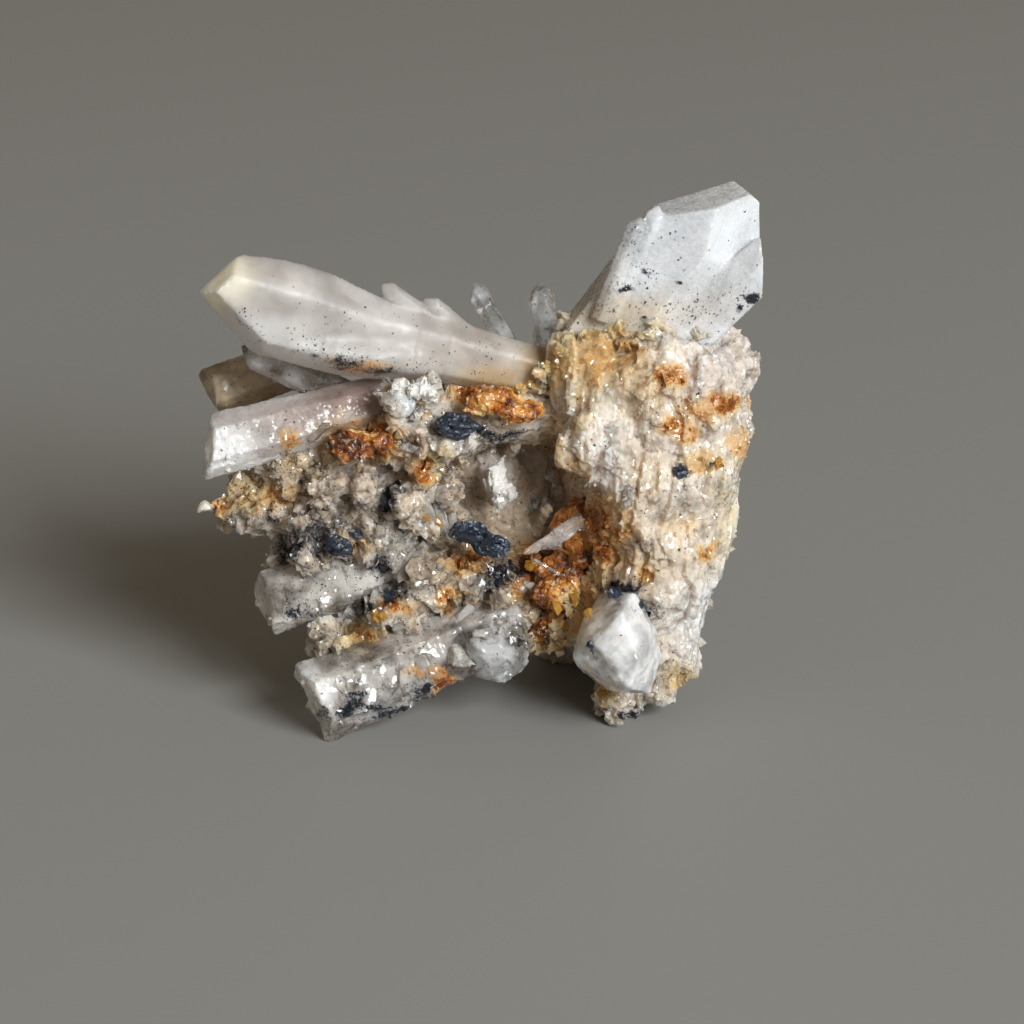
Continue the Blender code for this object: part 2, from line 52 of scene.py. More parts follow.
# The eye that sees the display face, and the layout point that is the origin, as the solids have them
EYE_DISTANCE = 450.0
EYE_ELEVATION = math.radians(20.0)
BASE_MIDDLE = np.array((-4.28, 5.91, -27.5))
PICTURE_WIDTH = 128.0
SENSOR = 36.0

QUARTZ_IOR = 1.545


# Places on the display face

EYE = np.array((0.0, -EYE_DISTANCE * math.cos(EYE_ELEVATION), EYE_DISTANCE * math.sin(EYE_ELEVATION)))
EYE_FORWARD = np.array((0.0, math.cos(EYE_ELEVATION), -math.sin(EYE_ELEVATION)))
EYE_UP = np.array((0.0, math.sin(EYE_ELEVATION), math.cos(EYE_ELEVATION)))


def on_face(points):
    """The (u, v) at which points, in metres, are seen on the display face, and their depth y, in millimetres."""
    layout = points / MM + BASE_MIDDLE
    ray = layout - EYE
    reach = ray @ EYE_FORWARD / EYE_DISTANCE
    return ray[:, 0] / reach, ray @ EYE_UP / reach, layout[:, 1]


# Hashed noise, the same each run

def hashed(cells, salt):
    """A number from 0 to 1 for each whole-number cell."""
    wide = cells.astype(np.int64)
    mixed = wide[..., 0] * 73856093 ^ wide[..., 1] * 19349663 ^ wide[..., 2] * 83492791 ^ salt * 2654435761
    mixed = (mixed ^ (mixed >> 13)) * 1274126177 & 0xFFFFFFFF
    mixed = (mixed ^ (mixed >> 16)) * 668265263 & 0xFFFFFFFF
    return (mixed ^ (mixed >> 15) & 0xFFFFFFFF) % 1048576 / 1048576.0


def smooth_noise(points, size, salt=0):
    """Value noise from -1 to 1, with features of that size."""
    grid = points / size
    low = np.floor(grid)
    part = grid - low
    part = part * part * (3.0 - 2.0 * part)
    total = np.zeros(len(points))
    for corner in np.ndindex(2, 2, 2):
        weight = np.ones(len(points))
        for axis, step in enumerate(corner):
            weight = weight * (part[:, axis] if step else 1.0 - part[:, axis])
        total += weight * hashed(low + np.array(corner), salt)
    return total * 2.0 - 1.0


def rough_noise(points, size, octaves=4, salt=0):
    """Layers of value noise, each half as large and half as strong as the one before it."""
    total = np.zeros(len(points))
    for i in range(octaves):
        total += smooth_noise(points, size / 2**i, salt + 17 * i) / 2**i
    return total / 1.6


def blocks(points, size, salt=0):
    """Breaks space into blocks: each point's offset from its block's heart, the block's lean and its number."""
    grid = points / size
    low = np.floor(grid)
    nearest = np.full(len(points), 1e9)
    offset = np.zeros((len(points), 3))
    lean = np.zeros((len(points), 3))
    number = np.zeros(len(points))
    for step in np.ndindex(3, 3, 3):
        cell = low + np.array(step) - 1.0
        jitter = np.stack([hashed(cell, salt + i) for i in range(3)], axis=1)
        away = grid - cell - jitter
        distance = (away * away).sum(1)
        closer = distance < nearest
        nearest[closer] = distance[closer]
        offset[closer] = away[closer] * size
        turned = np.stack([hashed(cell, salt + 5 + i) for i in range(3)], axis=1) * 2.0 - 1.0
        lean[closer] = turned[closer]
        number[closer] = hashed(cell, salt + 11)[closer]
    return offset, lean, number


def ramp(value, low, high):
    """0 below low, 1 above high, smooth between them."""
    part = np.clip((value - low) / (high - low), 0.0, 1.0)
    return part * part * (3.0 - 2.0 * part)


# Meshes

def link(name, mesh):
    made = bpy.data.objects.new(name, mesh)
    bpy.context.scene.collection.objects.link(made)
    return made


def copy_of(name, *nodes):
    """One new object from merged copies of CAD nodes."""
    bm = bmesh.new()
    for node in nodes:
        bm.from_mesh(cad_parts[node].data)
    bmesh.ops.remove_doubles(bm, verts=bm.verts, dist=0.002 * MM)
    mesh = bpy.data.meshes.new(name)
    bm.to_mesh(mesh)
    bm.free()
    return link(name, mesh)


def shaped(piece, kind, **settings):
    """The piece with one modifier of these settings made part of its mesh."""
    work = piece.modifiers.new("shaped", kind)
    for key, value in settings.items():
        setattr(work, key, value)
    bpy.context.view_layer.update()
    mesh = bpy.data.meshes.new_from_object(piece.evaluated_get(bpy.context.evaluated_depsgraph_get()))
    piece.modifiers.remove(work)
    old = piece.data
    piece.data = mesh
    bpy.data.meshes.remove(old)


def spots_of(piece):
    """The places of the piece's vertices, and the way that each one faces."""
    count = len(piece.data.vertices)
    places = np.empty(count * 3, np.float32)
    piece.data.vertices.foreach_get("co", places)
    ways = np.empty(count * 3, np.float32)
    piece.data.vertex_normals.foreach_get("vector", ways)
    return places.reshape(-1, 3).astype(float), ways.reshape(-1, 3).astype(float)


def move_to(piece, places):
    places[:, 2] = np.maximum(places[:, 2], 0.0)
    piece.data.vertices.foreach_set("co", places.astype(np.float32).ravel())
    piece.data.update()


def eased(piece, places, weight, rounds):
    """Evens out the skin, most where the weight is 1, as if its edges had been rubbed round."""
    ends = np.empty(len(piece.data.edges) * 2, np.int32)
    piece.data.edges.foreach_get("vertices", ends)
    first, second = ends.reshape(-1, 2).T
    count = len(places)
    shared = (np.bincount(first, minlength=count) + np.bincount(second, minlength=count))[:, None]
    for _ in range(rounds):
        total = np.stack(
            [
                np.bincount(first, places[second, axis], count) + np.bincount(second, places[first, axis], count)
                for axis in range(3)
            ],
            axis=1,
        )
        places = places + (total / shared - places) * 0.6 * weight[:, None]
    return places


def note(piece, name, values):
    """Keeps a number or a colour for each vertex of the piece, for its material and what grows on it."""
    kind = "FLOAT" if values.ndim == 1 else "FLOAT_COLOR"
    layer = piece.data.attributes.new(name, kind, "POINT")
    if values.ndim == 1:
        layer.data.foreach_set("value", values.astype(np.float32))
    else:
        full = np.concatenate([values, np.ones((len(values), 1))], axis=1)
        layer.data.foreach_set("color", full.astype(np.float32).ravel())


def shade(piece, angle=None):
    """Smooth shading with edges sharper than the angle kept, or flat shading."""
    if angle is None:
        piece.data.shade_flat()
    else:
        piece.data.shade_smooth()
        piece.data.set_sharp_from_angle(angle=math.radians(angle))


# Stains and specks: (u, v, half width, half height, strength), in millimetres of the display face

HONEY = (
    (12.2, 19.6, 6.8, 4.6, 0.85),
    (6.0, 18.8, 4.0, 3.0, 0.8),
    (16.0, 14.6, 4.0, 3.6, 0.5),
    (9.0, 13.0, 2.2, 4.2, 0.5),
    (24.6, 6.6, 1.8, 1.6, 0.9),
    (26.8, -2.0, 1.6, 8.0, 0.35),
    (23.4, 6.2, 2.6, 1.6, 0.8),
    (16.2, -7.6, 1.7, 1.8, 0.8),
    (8.6, -11.6, 4.2, 4.8, 0.8),
    (21.4, -21.2, 2.4, 2.0, 0.8),
    (11.6, -22.4, 1.8, 1.6, 0.9),
    (21.0, -1.6, 2.6, 2.0, 0.45),
    (24.6, -5.0, 1.2, 1.4, 0.8),
    (17.0, 4.0, 4.0, 4.0, 0.3),
    (-18.4, -15.6, 3.6, 2.0, 0.6),
    (-34.0, 2.4, 4.4, 2.6, 0.55),
    (-27.0, 5.6, 4.6, 2.0, 0.45),
    (1.0, 15.8, 5.0, 2.0, 0.9),
    (-9.0, 6.0, 3.0, 2.2, 0.4),
    (3.6, -15.8, 2.6, 3.0, 0.6),
)
RUST = (
    (19.8, 17.0, 1.9, 1.7, 0.75),
    (27.0, 13.8, 2.4, 1.2, 1.0),
    (24.6, 12.6, 3.4, 1.6, 0.5),
    (21.4, 10.4, 2.8, 1.8, 0.7),
    (22.0, 13.0, 2.0, 1.6, 0.5),
    (28.6, 8.2, 1.4, 2.2, 0.6),
    (10.6, -2.6, 3.4, 5.0, 0.9),
    (5.2, 8.4, 1.6, 4.6, 0.4),
    (8.0, 5.6, 1.6, 2.0, 0.5),
    (16.6, -8.4, 1.2, 1.3, 0.7),
    (24.4, -4.8, 0.9, 1.0, 0.8),
    (-27.8, 9.4, 1.5, 1.5, 0.9),
    (-22.0, 10.4, 3.0, 1.8, 0.5),
    (-18.6, 8.8, 5.0, 2.6, 1.0),
    (-30.6, 1.6, 3.6, 2.0, 0.5),
    (-36.4, 0.4, 2.0, 1.8, 0.6),
    (-10.8, 5.4, 2.2, 2.2, 0.8),
    (-14.6, -11.4, 2.6, 1.1, 1.0),
    (-8.2, -10.4, 1.5, 1.8, 1.0),
    (-17.6, -15.2, 2.2, 1.6, 0.7),
    (-8.4, -21.2, 1.8, 1.6, 1.0),
    (-11.8, -20.4, 1.6, 1.0, 0.7),
    (-5.4, -6.0, 3.4, 1.6, 0.7),
    (2.0, -6.4, 2.2, 3.0, 0.9),
    (-20.0, -4.0, 2.6, 1.4, 0.5),
    (-4.0, 14.6, 4.6, 2.2, 0.9),
    (-10.8, 12.8, 1.0, 1.2, 0.6),
    (9.6, -21.6, 1.2, 2.0, 0.6),
    (1.4, -9.4, 2.0, 2.0, 0.8),
)
SOOT = (
    (-25.6, -3.4, 5.0, 3.0, 0.6),
    (-28.4, -5.4, 1.6, 2.4, 0.7),
    (-30.0, -0.6, 2.6, 1.4, 0.5),
    (-15.4, 1.4, 1.0, 2.6, 0.9),
    (-2.4, 9.8, 4.4, 1.0, 1.0),
    (-16.2, -6.8, 2.2, 1.8, 0.8),
    (-1.6, -8.0, 3.4, 3.2, 0.85),
    (-14.4, -9.8, 2.8, 1.3, 0.75),
    (-14.6, -25.4, 4.4, 1.2, 1.0),
    (-19.0, -22.6, 2.4, 0.8, 0.8),
    (-23.6, -25.6, 1.6, 1.2, 0.7),
    (-20.4, -24.4, 2.0, 1.5, 0.9),
    (-10.6, -22.6, 2.6, 1.0, 0.8),
    (13.4, -9.8, 3.4, 1.0, 1.0),
    (17.0, -12.6, 2.6, 1.2, 0.7),
    (-26.6, -12.6, 2.8, 1.6, 0.6),
    (-18.6, -12.0, 3.6, 1.2, 0.7),
    (1.6, -16.4, 1.6, 1.0, 0.9),
    (-17.0, 4.4, 2.0, 0.8, 0.5),
    (21.2, 5.2, 0.9, 0.9, 1.0),
    (14.8, -26.0, 1.6, 1.0, 0.9),
    (9.8, -18.4, 1.0, 1.6, 0.8),
    (-20.2, 18.0, 6.2, 1.2, 0.8),
)
MILK = (
    (-11.8, 14.4, 4.8, 3.4, 1.0),
    (10.4, 10.0, 4.0, 4.6, 0.7),
    (21.6, 0.4, 5.6, 8.0, 0.4),
    (22.0, 19.0, 7.0, 4.0, 0.45),
    (-36.0, 7.4, 4.0, 3.6, 0.9),
    (-30.0, -15.2, 3.0, 1.6, 0.8),
    (-1.6, 4.4, 2.6, 3.6, 1.0),
    (-17.6, -8.6, 4.0, 3.0, 0.6),
    (21.8, -14.0, 4.0, 6.0, 0.8),
    (-25.0, -21.6, 2.0, 3.0, 0.9),
    (-6.6, 8.6, 3.6, 1.2, 0.8),
)

BASE_TONE = np.array((0.63, 0.53, 0.42))
WHITE_TONE = np.array((0.84, 0.80, 0.76))
SHADE_TONE = np.array((0.44, 0.32, 0.21))
DARK_TONE = np.array((0.16, 0.10, 0.065))
# Soft tone washes on the display face: (u, v, half width, half height, strength, tone); some are painted shade and
# painted light, marked where they stand
WASHES_AND_PAINTED_LIGHT = (
    (22.0, 18.0, 9.0, 9.0, 0.7, (0.76, 0.66, 0.60)),
    (21.0, -4.0, 8.0, 12.0, 0.7, (0.70, 0.56, 0.42)),
    # The right rim's pale yellow tone, made paler as painted light where the edge faces the lamp and glows through
    (27.6, -4.0, 1.8, 12.0, 0.7, (0.84, 0.78, 0.62)),
    (25.0, -13.0, 2.6, 6.0, 0.85, (0.84, 0.84, 0.82)),
    (12.0, 4.6, 3.4, 2.6, 0.6, (0.80, 0.74, 0.72)),
    (11.6, 10.6, 5.0, 5.0, 0.7, (0.88, 0.78, 0.68)),
    (12.0, -4.6, 4.0, 3.6, 0.7, (0.52, 0.33, 0.20)),
    (18.0, -10.0, 4.0, 3.0, 0.5, (0.74, 0.60, 0.46)),
    (-24.0, -2.0, 12.0, 9.0, 0.75, (0.42, 0.34, 0.265)),
    (-22.0, -12.0, 11.0, 6.0, 0.6, (0.50, 0.43, 0.35)),
    (-19.0, 10.0, 8.0, 4.0, 0.7, (0.44, 0.30, 0.21)),
    (-6.0, -9.0, 9.0, 7.0, 0.7, (0.36, 0.27, 0.19)),
    # Painted shade: the hollow's brown tone, made darker because the hollow lies in shade
    (-3.0, 4.0, 7.0, 8.0, 0.9, (0.50, 0.38, 0.27)),
    # Painted light: the hollow's right side is made pale, as if lit by light coming through the quartz
    (6.6, 3.0, 4.0, 7.0, 1.0, (0.92, 0.70, 0.52)),
    (7.0, -12.0, 5.0, 7.0, 0.8, (0.44, 0.27, 0.12)),
)


def in_spots(u, v, spots):
    """How far inside the strongest of these spots each place is, from 0 to 1."""
    most = np.zeros(len(u))
    for at_u, at_v, wide, high, strength in spots:
        away = ((u - at_u) / wide) ** 2 + ((v - at_v) / high) ** 2
        most = np.maximum(most, strength * np.exp(-0.5 * away - 0.5 * away * away))
    return most


def wandering(places, far=1.0):
    """Where each place lies on the display face for its stains, which wander like a spill's edge."""
    u, v, depth = on_face(places)
    u = u + 1.7 * far * rough_noise(places, 3.2 * MM * far, 5, 201)
    v = v + 1.5 * far * rough_noise(places, 2.8 * MM * far, 5, 221)
    return u, v, depth


def washed(tint, u, v, washes):
    """Tints the places with soft washes: (u, v, half width, half height, strength, tone)."""
    for *spot, tone in washes:
        tint = tint + (np.array(tone) - tint) * in_spots(u, v, (spot,))[:, None]
    return tint


def stain(places, ways, base=BASE_TONE):
    """The clean colour of each place, with painted shade and painted light in some of its washes, and how much honey,
    rust, soot and milk it has.
    """
    u, v, depth = wandering(places)
    facing = ramp(-(ways @ EYE_FORWARD), -0.35, 0.15) * ramp(-depth, -14.0, -9.0)
    fine = rough_noise(places, 1.6 * MM, 4, 3)
    broad = rough_noise(places, 6.0 * MM, 3, 8)
    amounts = {}
    hidden = {
        "honey": ramp(broad, 0.25, 0.8) * 0.6,
        "rust": ramp(rough_noise(places, 4.4 * MM, 4, 31), 0.38, 0.8) * 0.8,
        "soot": ramp(rough_noise(places, 3.4 * MM, 4, 41), 0.45, 0.9) * 0.8,
        "milk": ramp(rough_noise(places, 7.0 * MM, 3, 51), 0.1, 0.7),
    }
    for name, spots in (("honey", HONEY), ("rust", RUST), ("soot", SOOT), ("milk", MILK)):
        seen = in_spots(u, v, spots)
        seen = np.clip(seen * (1.0 + 0.5 * fine), 0.0, 1.0)
        amounts[name] = seen * facing + hidden[name] * (1.0 - facing)
    colour = base + (WHITE_TONE - base) * (ramp(broad + fine * 0.4, -0.1, 1.0) * 0.7)[:, None]
    shade_amount = ramp(-broad - fine * 0.5, 0.1, 1.0) * 0.6
    colour = colour + (SHADE_TONE - colour) * np.minimum(shade_amount, 0.85)[:, None]
    mottled = rough_noise(places, 1.2 * MM, 3, 77)
    left = ramp(-u, 0.0, 9.0) * facing
    colour = colour + (DARK_TONE - colour) * (ramp(mottled, 0.05, 0.5) * 0.6 * left)[:, None]
    # The washes add painted shade over the hollow and painted light on its right side and on the right rim
    washed_colour_with_painted_light = washed(colour, u, v, WASHES_AND_PAINTED_LIGHT)
    washed_colour_with_painted_light = washed_colour_with_painted_light + (WHITE_TONE - washed_colour_with_painted_light) * (ramp(-mottled, 0.2, 0.6) * 0.6 * left)[:, None]
    colour = colour + (washed_colour_with_painted_light - colour) * facing[:, None]
    colour = colour + (WHITE_TONE - colour) * (amounts["milk"] * 0.85)[:, None]
    return np.clip(colour, 0.0, 1.0), amounts


def keep(piece, tint, amounts, specks):
    """Keeps the clean colour, with any painted shade and painted light in it, the stains, the specks and the clear
    places on the piece's vertices.
    """
    note(piece, "tint", tint)
    note(piece, "milk", amounts["milk"])
    if "clear" in amounts:
        note(piece, "clear", amounts["clear"])
    stains = np.stack([amounts["honey"], amounts["rust"], amounts["soot"]], axis=1)
    note(piece, "stains", np.clip(stains, 0.0, 1.0))
    note(piece, "specks", np.clip(specks, 0.0, 1.0))


# Materials

class Finish:
    """A Principled material, with short ways to add its nodes."""

    def __init__(self, name, roughness=0.4, metallic=0.0, **sockets):
        self.material = bpy.data.materials.new(name)
        self.material.use_nodes = True
        self.tree = self.material.node_tree
        self.shader = self.tree.nodes["Principled BSDF"]
        self.set("Roughness", roughness)
        self.set("Metallic", metallic)
        self.set("Subsurface Radius", (1.0, 0.9, 0.8))
        for key, value in sockets.items():
            self.set(key.replace("_", " "), value)
        self.where = self.tree.nodes.new("ShaderNodeTexCoord").outputs["Object"]

    def set(self, socket, value):
        self.shader.inputs[socket].default_value = value

    def wire(self, output, socket):
        self.tree.links.new(output, self.shader.inputs[socket])

    def node(self, kind, inputs=None, **settings):
        made = self.tree.nodes.new(kind)
        for key, value in settings.items():
            setattr(made, key, value)
        for key, value in (inputs or {}).items():
            if isinstance(value, bpy.types.NodeSocket):
                self.tree.links.new(value, made.inputs[key])
            else:
                made.inputs[key].default_value = value
        return made

    def noise(self, size, detail=4.0, rough=0.6):
        """Noise from 0 to 1, with features of that size in metres."""
        made = self.node(
            "ShaderNodeTexNoise",
            {"Vector": self.where, "Scale": 1.0 / size, "Detail": detail, "Roughness": rough},
        )
        return made.outputs["Fac"]

    def streaks(self, size, way):
        """Noise from 0 to 1 that is drawn out along the axes where the way is small."""
        drawn = self.node("ShaderNodeVectorMath", {0: self.where, 1: way}, operation="MULTIPLY").outputs[0]
        made = self.node("ShaderNodeTexNoise", {"Vector": drawn, "Scale": 1.0 / size, "Detail": 3.0})
        return made.outputs["Fac"]

    def between(self, factor, low, high):
        """Turns a factor from 0 to 1 into a number from low to high."""
        return self.node("ShaderNodeMapRange", {"Value": factor, "To Min": low, "To Max": high}).outputs["Result"]

    def clipped(self, value, low, high, start=0.0, end=1.0):
        made = self.node(
            "ShaderNodeMapRange",
            {"Value": value, "From Min": low, "From Max": high, "To Min": start, "To Max": end},
        )
        return made.outputs["Result"]

    def mixed(self, factor, first, second, blend="MIX"):
        made = self.node("ShaderNodeMix", data_type="RGBA", blend_type=blend)
        for key, value in ((0, factor), (6, first), (7, second)):
            if isinstance(value, bpy.types.NodeSocket):
                self.tree.links.new(value, made.inputs[key])
            else:
                made.inputs[key].default_value = value
        return made.outputs[2]

    def noted(self, name, output="Color"):
        """A colour or a number kept on the mesh's vertices."""
        return self.node("ShaderNodeAttribute", attribute_name=name).outputs[output]

    def glitter(self, size, strength):
        """A normal that is turned a little differently on each tiny facet."""
        cells = self.node("ShaderNodeTexVoronoi", {"Vector": self.where, "Scale": 1.0 / size}).outputs["Color"]
        centred = self.node("ShaderNodeVectorMath", {0: cells, 1: (0.5, 0.5, 0.5)}, operation="SUBTRACT").outputs[0]
        scaled = self.node("ShaderNodeVectorMath", {0: centred, "Scale": strength}, operation="SCALE").outputs[0]
        plain = self.node("ShaderNodeNewGeometry").outputs["Normal"]
        turned = self.node("ShaderNodeVectorMath", {0: plain, 1: scaled}, operation="ADD").outputs[0]
        return self.node("ShaderNodeVectorMath", {0: turned}, operation="NORMALIZE").outputs[0]

    def bumps(self, height, strength, distance, normal=None):
        made = self.node("ShaderNodeBump", {"Height": height, "Strength": strength, "Distance": distance})
        if normal is not None:
            self.tree.links.new(normal, made.inputs["Normal"])
        return made.outputs["Normal"]

    def absorb(self, colour, density):
        """Light is lost on its way through the piece."""
        made = self.node("ShaderNodeVolumeAbsorption", {"Color": (*colour, 1.0), "Density": density})
        self.tree.links.new(made.outputs[0], self.tree.nodes["Material Output"].inputs["Volume"])

    def sum(self, *values):
        """One number from several, added up."""
        total = values[0]
        for value in values[1:]:
            total = self.node("ShaderNodeMath", {0: total, 1: value}, operation="ADD").outputs[0]
        return total

    def times(self, first, second):
        return self.node("ShaderNodeMath", {0: first, 1: second}, operation="MULTIPLY").outputs[0]

    def most(self, first, second):
        return self.node("ShaderNodeMath", {0: first, 1: second}, operation="MAXIMUM").outputs[0]

    def ramped(self, factor, *stops):
        """A colour that changes with a factor, given as (place, red, green, blue) stops."""
        made = self.node("ShaderNodeValToRGB", {0: factor})
        band = made.color_ramp
        for i, (place, *tone) in enumerate(stops):
            stop = band.elements[i] if i < 2 else band.elements.new(place)
            stop.position = place
            stop.color = (*tone, 1.0)
        return made.outputs[0]

    def specks(self, size):
        """Small dark specks, more of them where the kept number is high: a factor from 0 to 1."""
        wander = self.node("ShaderNodeTexNoise", {"Vector": self.where, "Scale": 1.3 / size, "Detail": 3.0})
        pull = self.node(
            "ShaderNodeVectorMath", {0: wander.outputs["Color"], "Scale": 1.9 * size}, operation="SCALE"
        ).outputs[0]
        bent = self.node("ShaderNodeVectorMath", {0: self.where, 1: pull}, operation="ADD").outputs[0]
        cells = self.node("ShaderNodeTexVoronoi", {"Vector": bent, "Scale": 1.0 / size})
        chance = self.node("ShaderNodeSeparateColor", {0: cells.outputs["Color"]}).outputs
        here = self.node(
            "ShaderNodeMath", {0: chance[0], 1: self.noted("specks", "Fac")}, operation="LESS_THAN"
        ).outputs[0]
        near = self.node(
            "ShaderNodeMath",
            {0: cells.outputs["Distance"], 1: self.clipped(chance[1], 0.0, 1.0, 0.08, 0.44)},
            operation="LESS_THAN",
        ).outputs[0]
        return self.times(here, near)

    def stained(self, colour, speck_size=0.34 * MM):
        """A colour under the kept stains and specks, and how far they cover it."""
        kept = self.node("ShaderNodeSeparateColor", {0: self.noted("stains")}).outputs
        broken_up = self.clipped(self.noise(0.75 * MM, 6.0, 0.75), 0.25, 0.75, -0.34, 0.34)
        fine = self.clipped(self.noise(0.3 * MM, 3.0), 0.25, 0.75, -0.16, 0.16)
        honey = self.clipped(self.sum(kept[0], self.times(broken_up, 0.5)), 0.08, 0.85)
        halo = self.times(self.clipped(self.sum(kept[1], self.times(broken_up, 0.4)), 0.05, 0.5), 0.7)
        rust = self.clipped(self.sum(kept[1], broken_up, fine), 0.38, 0.8)
        soot = self.clipped(self.sum(kept[2], self.times(broken_up, -1.0), fine), 0.3, 0.75)
        amber = self.ramped(honey, (0.0, 0.84, 0.70, 0.44), (0.5, 0.78, 0.52, 0.19), (1.0, 0.58, 0.31, 0.08))
        iron = self.ramped(
            self.sum(self.times(kept[1], 0.7), fine, self.times(broken_up, 0.6)),
            (0.15, 0.82, 0.48, 0.14),
            (0.4, 0.62, 0.24, 0.03),
            (0.62, 0.30, 0.08, 0.012),
            (0.9, 0.07, 0.018, 0.008),
        )
        black = self.ramped(soot, (0.0, 0.26, 0.27, 0.30), (0.5, 0.075, 0.085, 0.11), (1.0, 0.012, 0.014, 0.02))
        tone = self.mixed(self.times(honey, 0.85), colour, amber)
        tone = self.mixed(halo, tone, (0.76, 0.50, 0.22, 1.0))
        tone = self.mixed(rust, tone, iron)
        tone = self.mixed(soot, tone, black)
        specks = self.specks(speck_size)
        tone = self.mixed(self.times(specks, 0.94), tone, (0.012, 0.013, 0.018, 1.0))
        cover = self.most(self.most(rust, soot), specks)
        return tone, cover


def sugary_finish():
    """Sugary quartz: stained, sparkling, glassy in places and milky in others."""
    made = Finish(
        "sugary_quartz",
        IOR=QUARTZ_IOR,
        Subsurface_Weight=0.8,
        Subsurface_Radius=(1.0, 0.8, 0.6),
        Subsurface_Scale=2.0 * MM,
    )
    tone = made.mixed(0.15, made.noted("tint"), made.noise(0.9 * MM), "OVERLAY")
    tone, cover = made.stained(tone)
    made.wire(tone, "Base Color")
    glassy = made.clipped(made.noise(2.2 * MM, 4.0, 0.6), 0.48, 0.66, 0.0, 0.45)
    made.wire(made.times(glassy, made.clipped(cover, 0.0, 1.0, 1.0, 0.0)), "Transmission Weight")
    made.wire(made.clipped(made.noise(0.8 * MM), 0.35, 0.7, 0.02, 0.28), "Roughness")
    facets = made.glitter(0.5 * MM, 0.7)
    made.wire(made.bumps(made.streaks(0.4 * MM, (1.0, 0.6, 0.3)), 0.6, 0.1 * MM, facets), "Normal")
    return made.material


def milky_finish(name, clear, depth, roughness=0.24, glint=0.0, shine=0.5):
    """A milky crystal: light goes some way into it, more where it is clear."""
    made = Finish(
        name,
        IOR=QUARTZ_IOR,
        Subsurface_Weight=0.6,
        Subsurface_Radius=(1.0, 0.9, 0.8),
        Subsurface_Scale=depth,
        Specular_IOR_Level=shine,
    )
    veils = made.noise(5.0 * MM, 4.0, 0.5)
    tone = made.mixed(0.1, made.noted("tint"), made.noise(0.5 * MM), "OVERLAY")
    tone, cover = made.stained(tone)
    made.wire(tone, "Base Color")
    let_through = made.sum(made.clipped(veils, 0.35, 0.65, clear[0], clear[1]), made.noted("clear", "Fac"))
    bare = made.clipped(made.most(cover, made.noted("milk", "Fac")), 0.0, 1.0, 1.0, 0.0)
    made.wire(made.times(let_through, bare), "Transmission Weight")
    lines = made.streaks(0.6 * MM, (0.16, 1.0, 1.0))
    made.wire(made.between(lines, roughness * 0.5, roughness * 1.5), "Roughness")
    facets = made.glitter(0.3 * MM, glint) if glint else None
    made.wire(made.bumps(lines, 0.3, 0.05 * MM, facets), "Normal")
    return made.material


def clear_finish(name, tone, loss, clear=(0.75, 1.0), roughness=0.08, glint=0.25):
    """A clear crystal with veils, which takes a little colour from the light that goes through."""
    made = Finish(name, IOR=QUARTZ_IOR, Subsurface_Weight=0.6, Subsurface_Scale=1.5 * MM)
    colour = made.mixed(0.5, made.noted("tint"), (*tone, 1.0))
    colour, cover = made.stained(colour)
    made.wire(colour, "Base Color")
    veils = made.noise(4.0 * MM, 3.0, 0.5)
    let_through = made.clipped(veils, 0.4, 0.6, clear[1], clear[0])
    bare = made.clipped(made.most(cover, made.noted("milk", "Fac")), 0.0, 1.0, 1.0, 0.0)
    made.wire(made.times(let_through, bare), "Transmission Weight")
    made.wire(made.between(made.noise(0.9 * MM), roughness * 0.5, roughness * 2.2), "Roughness")
    facets = made.glitter(0.9 * MM, glint)
    made.wire(made.bumps(made.noise(0.5 * MM), 0.35, 0.06 * MM, facets), "Normal")
    made.absorb(*loss)
    return made.material


def oxide_finish():
    """Blue-black oxide with a dull metal shine."""
    made = Finish("black_oxide", metallic=0.35, IOR=1.9)
    tone = made.mixed(made.noise(0.7 * MM), (0.006, 0.008, 0.013, 1.0), (0.045, 0.065, 0.105, 1.0))
    made.wire(tone, "Base Color")
    made.wire(made.between(made.noise(0.4 * MM), 0.22, 0.6), "Roughness")
    facets = made.glitter(0.3 * MM, 0.5)
    made.wire(made.bumps(made.noise(0.3 * MM), 0.7, 0.06 * MM, facets), "Normal")
    return made.material


def limonite_finish(name, paler):
    """Glassy limonite, dark red-brown in its pits and gold on its ridges, and paler where it is thin."""
    made = Finish(name, IOR=1.6, Subsurface_Weight=0.6, Subsurface_Scale=1.2 * MM)
    made.set("Subsurface Radius", (1.0, 0.5, 0.2))
    earth = made.ramped(
        made.sum(made.noise(3.0 * MM, 6.0, 0.62), paler),
        (0.38, 0.04, 0.014, 0.008),
        (0.46, 0.17, 0.045, 0.014),
        (0.54, 0.50, 0.17, 0.025),
        (0.62, 0.72, 0.38, 0.10),
        (0.72, 0.80, 0.60, 0.32),
    )
    grains = made.clipped(made.noise(0.9 * MM, 3.0), 0.54, 0.62)
    made.wire(made.mixed(made.times(grains, 0.4), earth, (0.74, 0.52, 0.34, 1.0)), "Base Color")
    made.wire(made.between(made.noise(0.6 * MM), 0.02, 0.4), "Roughness")
    facets = made.glitter(0.5 * MM, 0.7)
    made.wire(made.bumps(made.noise(0.3 * MM), 0.6, 0.06 * MM, facets), "Normal")
    return made.material


def druse_finish():
    """Small crystals that carry the stains of what they grow on."""
    made = Finish("druse", IOR=QUARTZ_IOR, Subsurface_Weight=0.4, Subsurface_Scale=0.8 * MM)
    tone, cover = made.stained(made.mixed(0.4, made.noted("tint"), (0.90, 0.86, 0.80, 1.0)), 0.3 * MM)
    made.wire(tone, "Base Color")
    let_through = made.clipped(made.noise(1.5 * MM), 0.35, 0.65, 0.3, 0.9)
    bare = made.clipped(made.most(cover, made.noted("milk", "Fac")), 0.0, 1.0, 1.0, 0.0)
    made.wire(made.times(let_through, bare), "Transmission Weight")
    made.wire(made.between(made.noise(0.5 * MM), 0.03, 0.25), "Roughness")
    return made.material


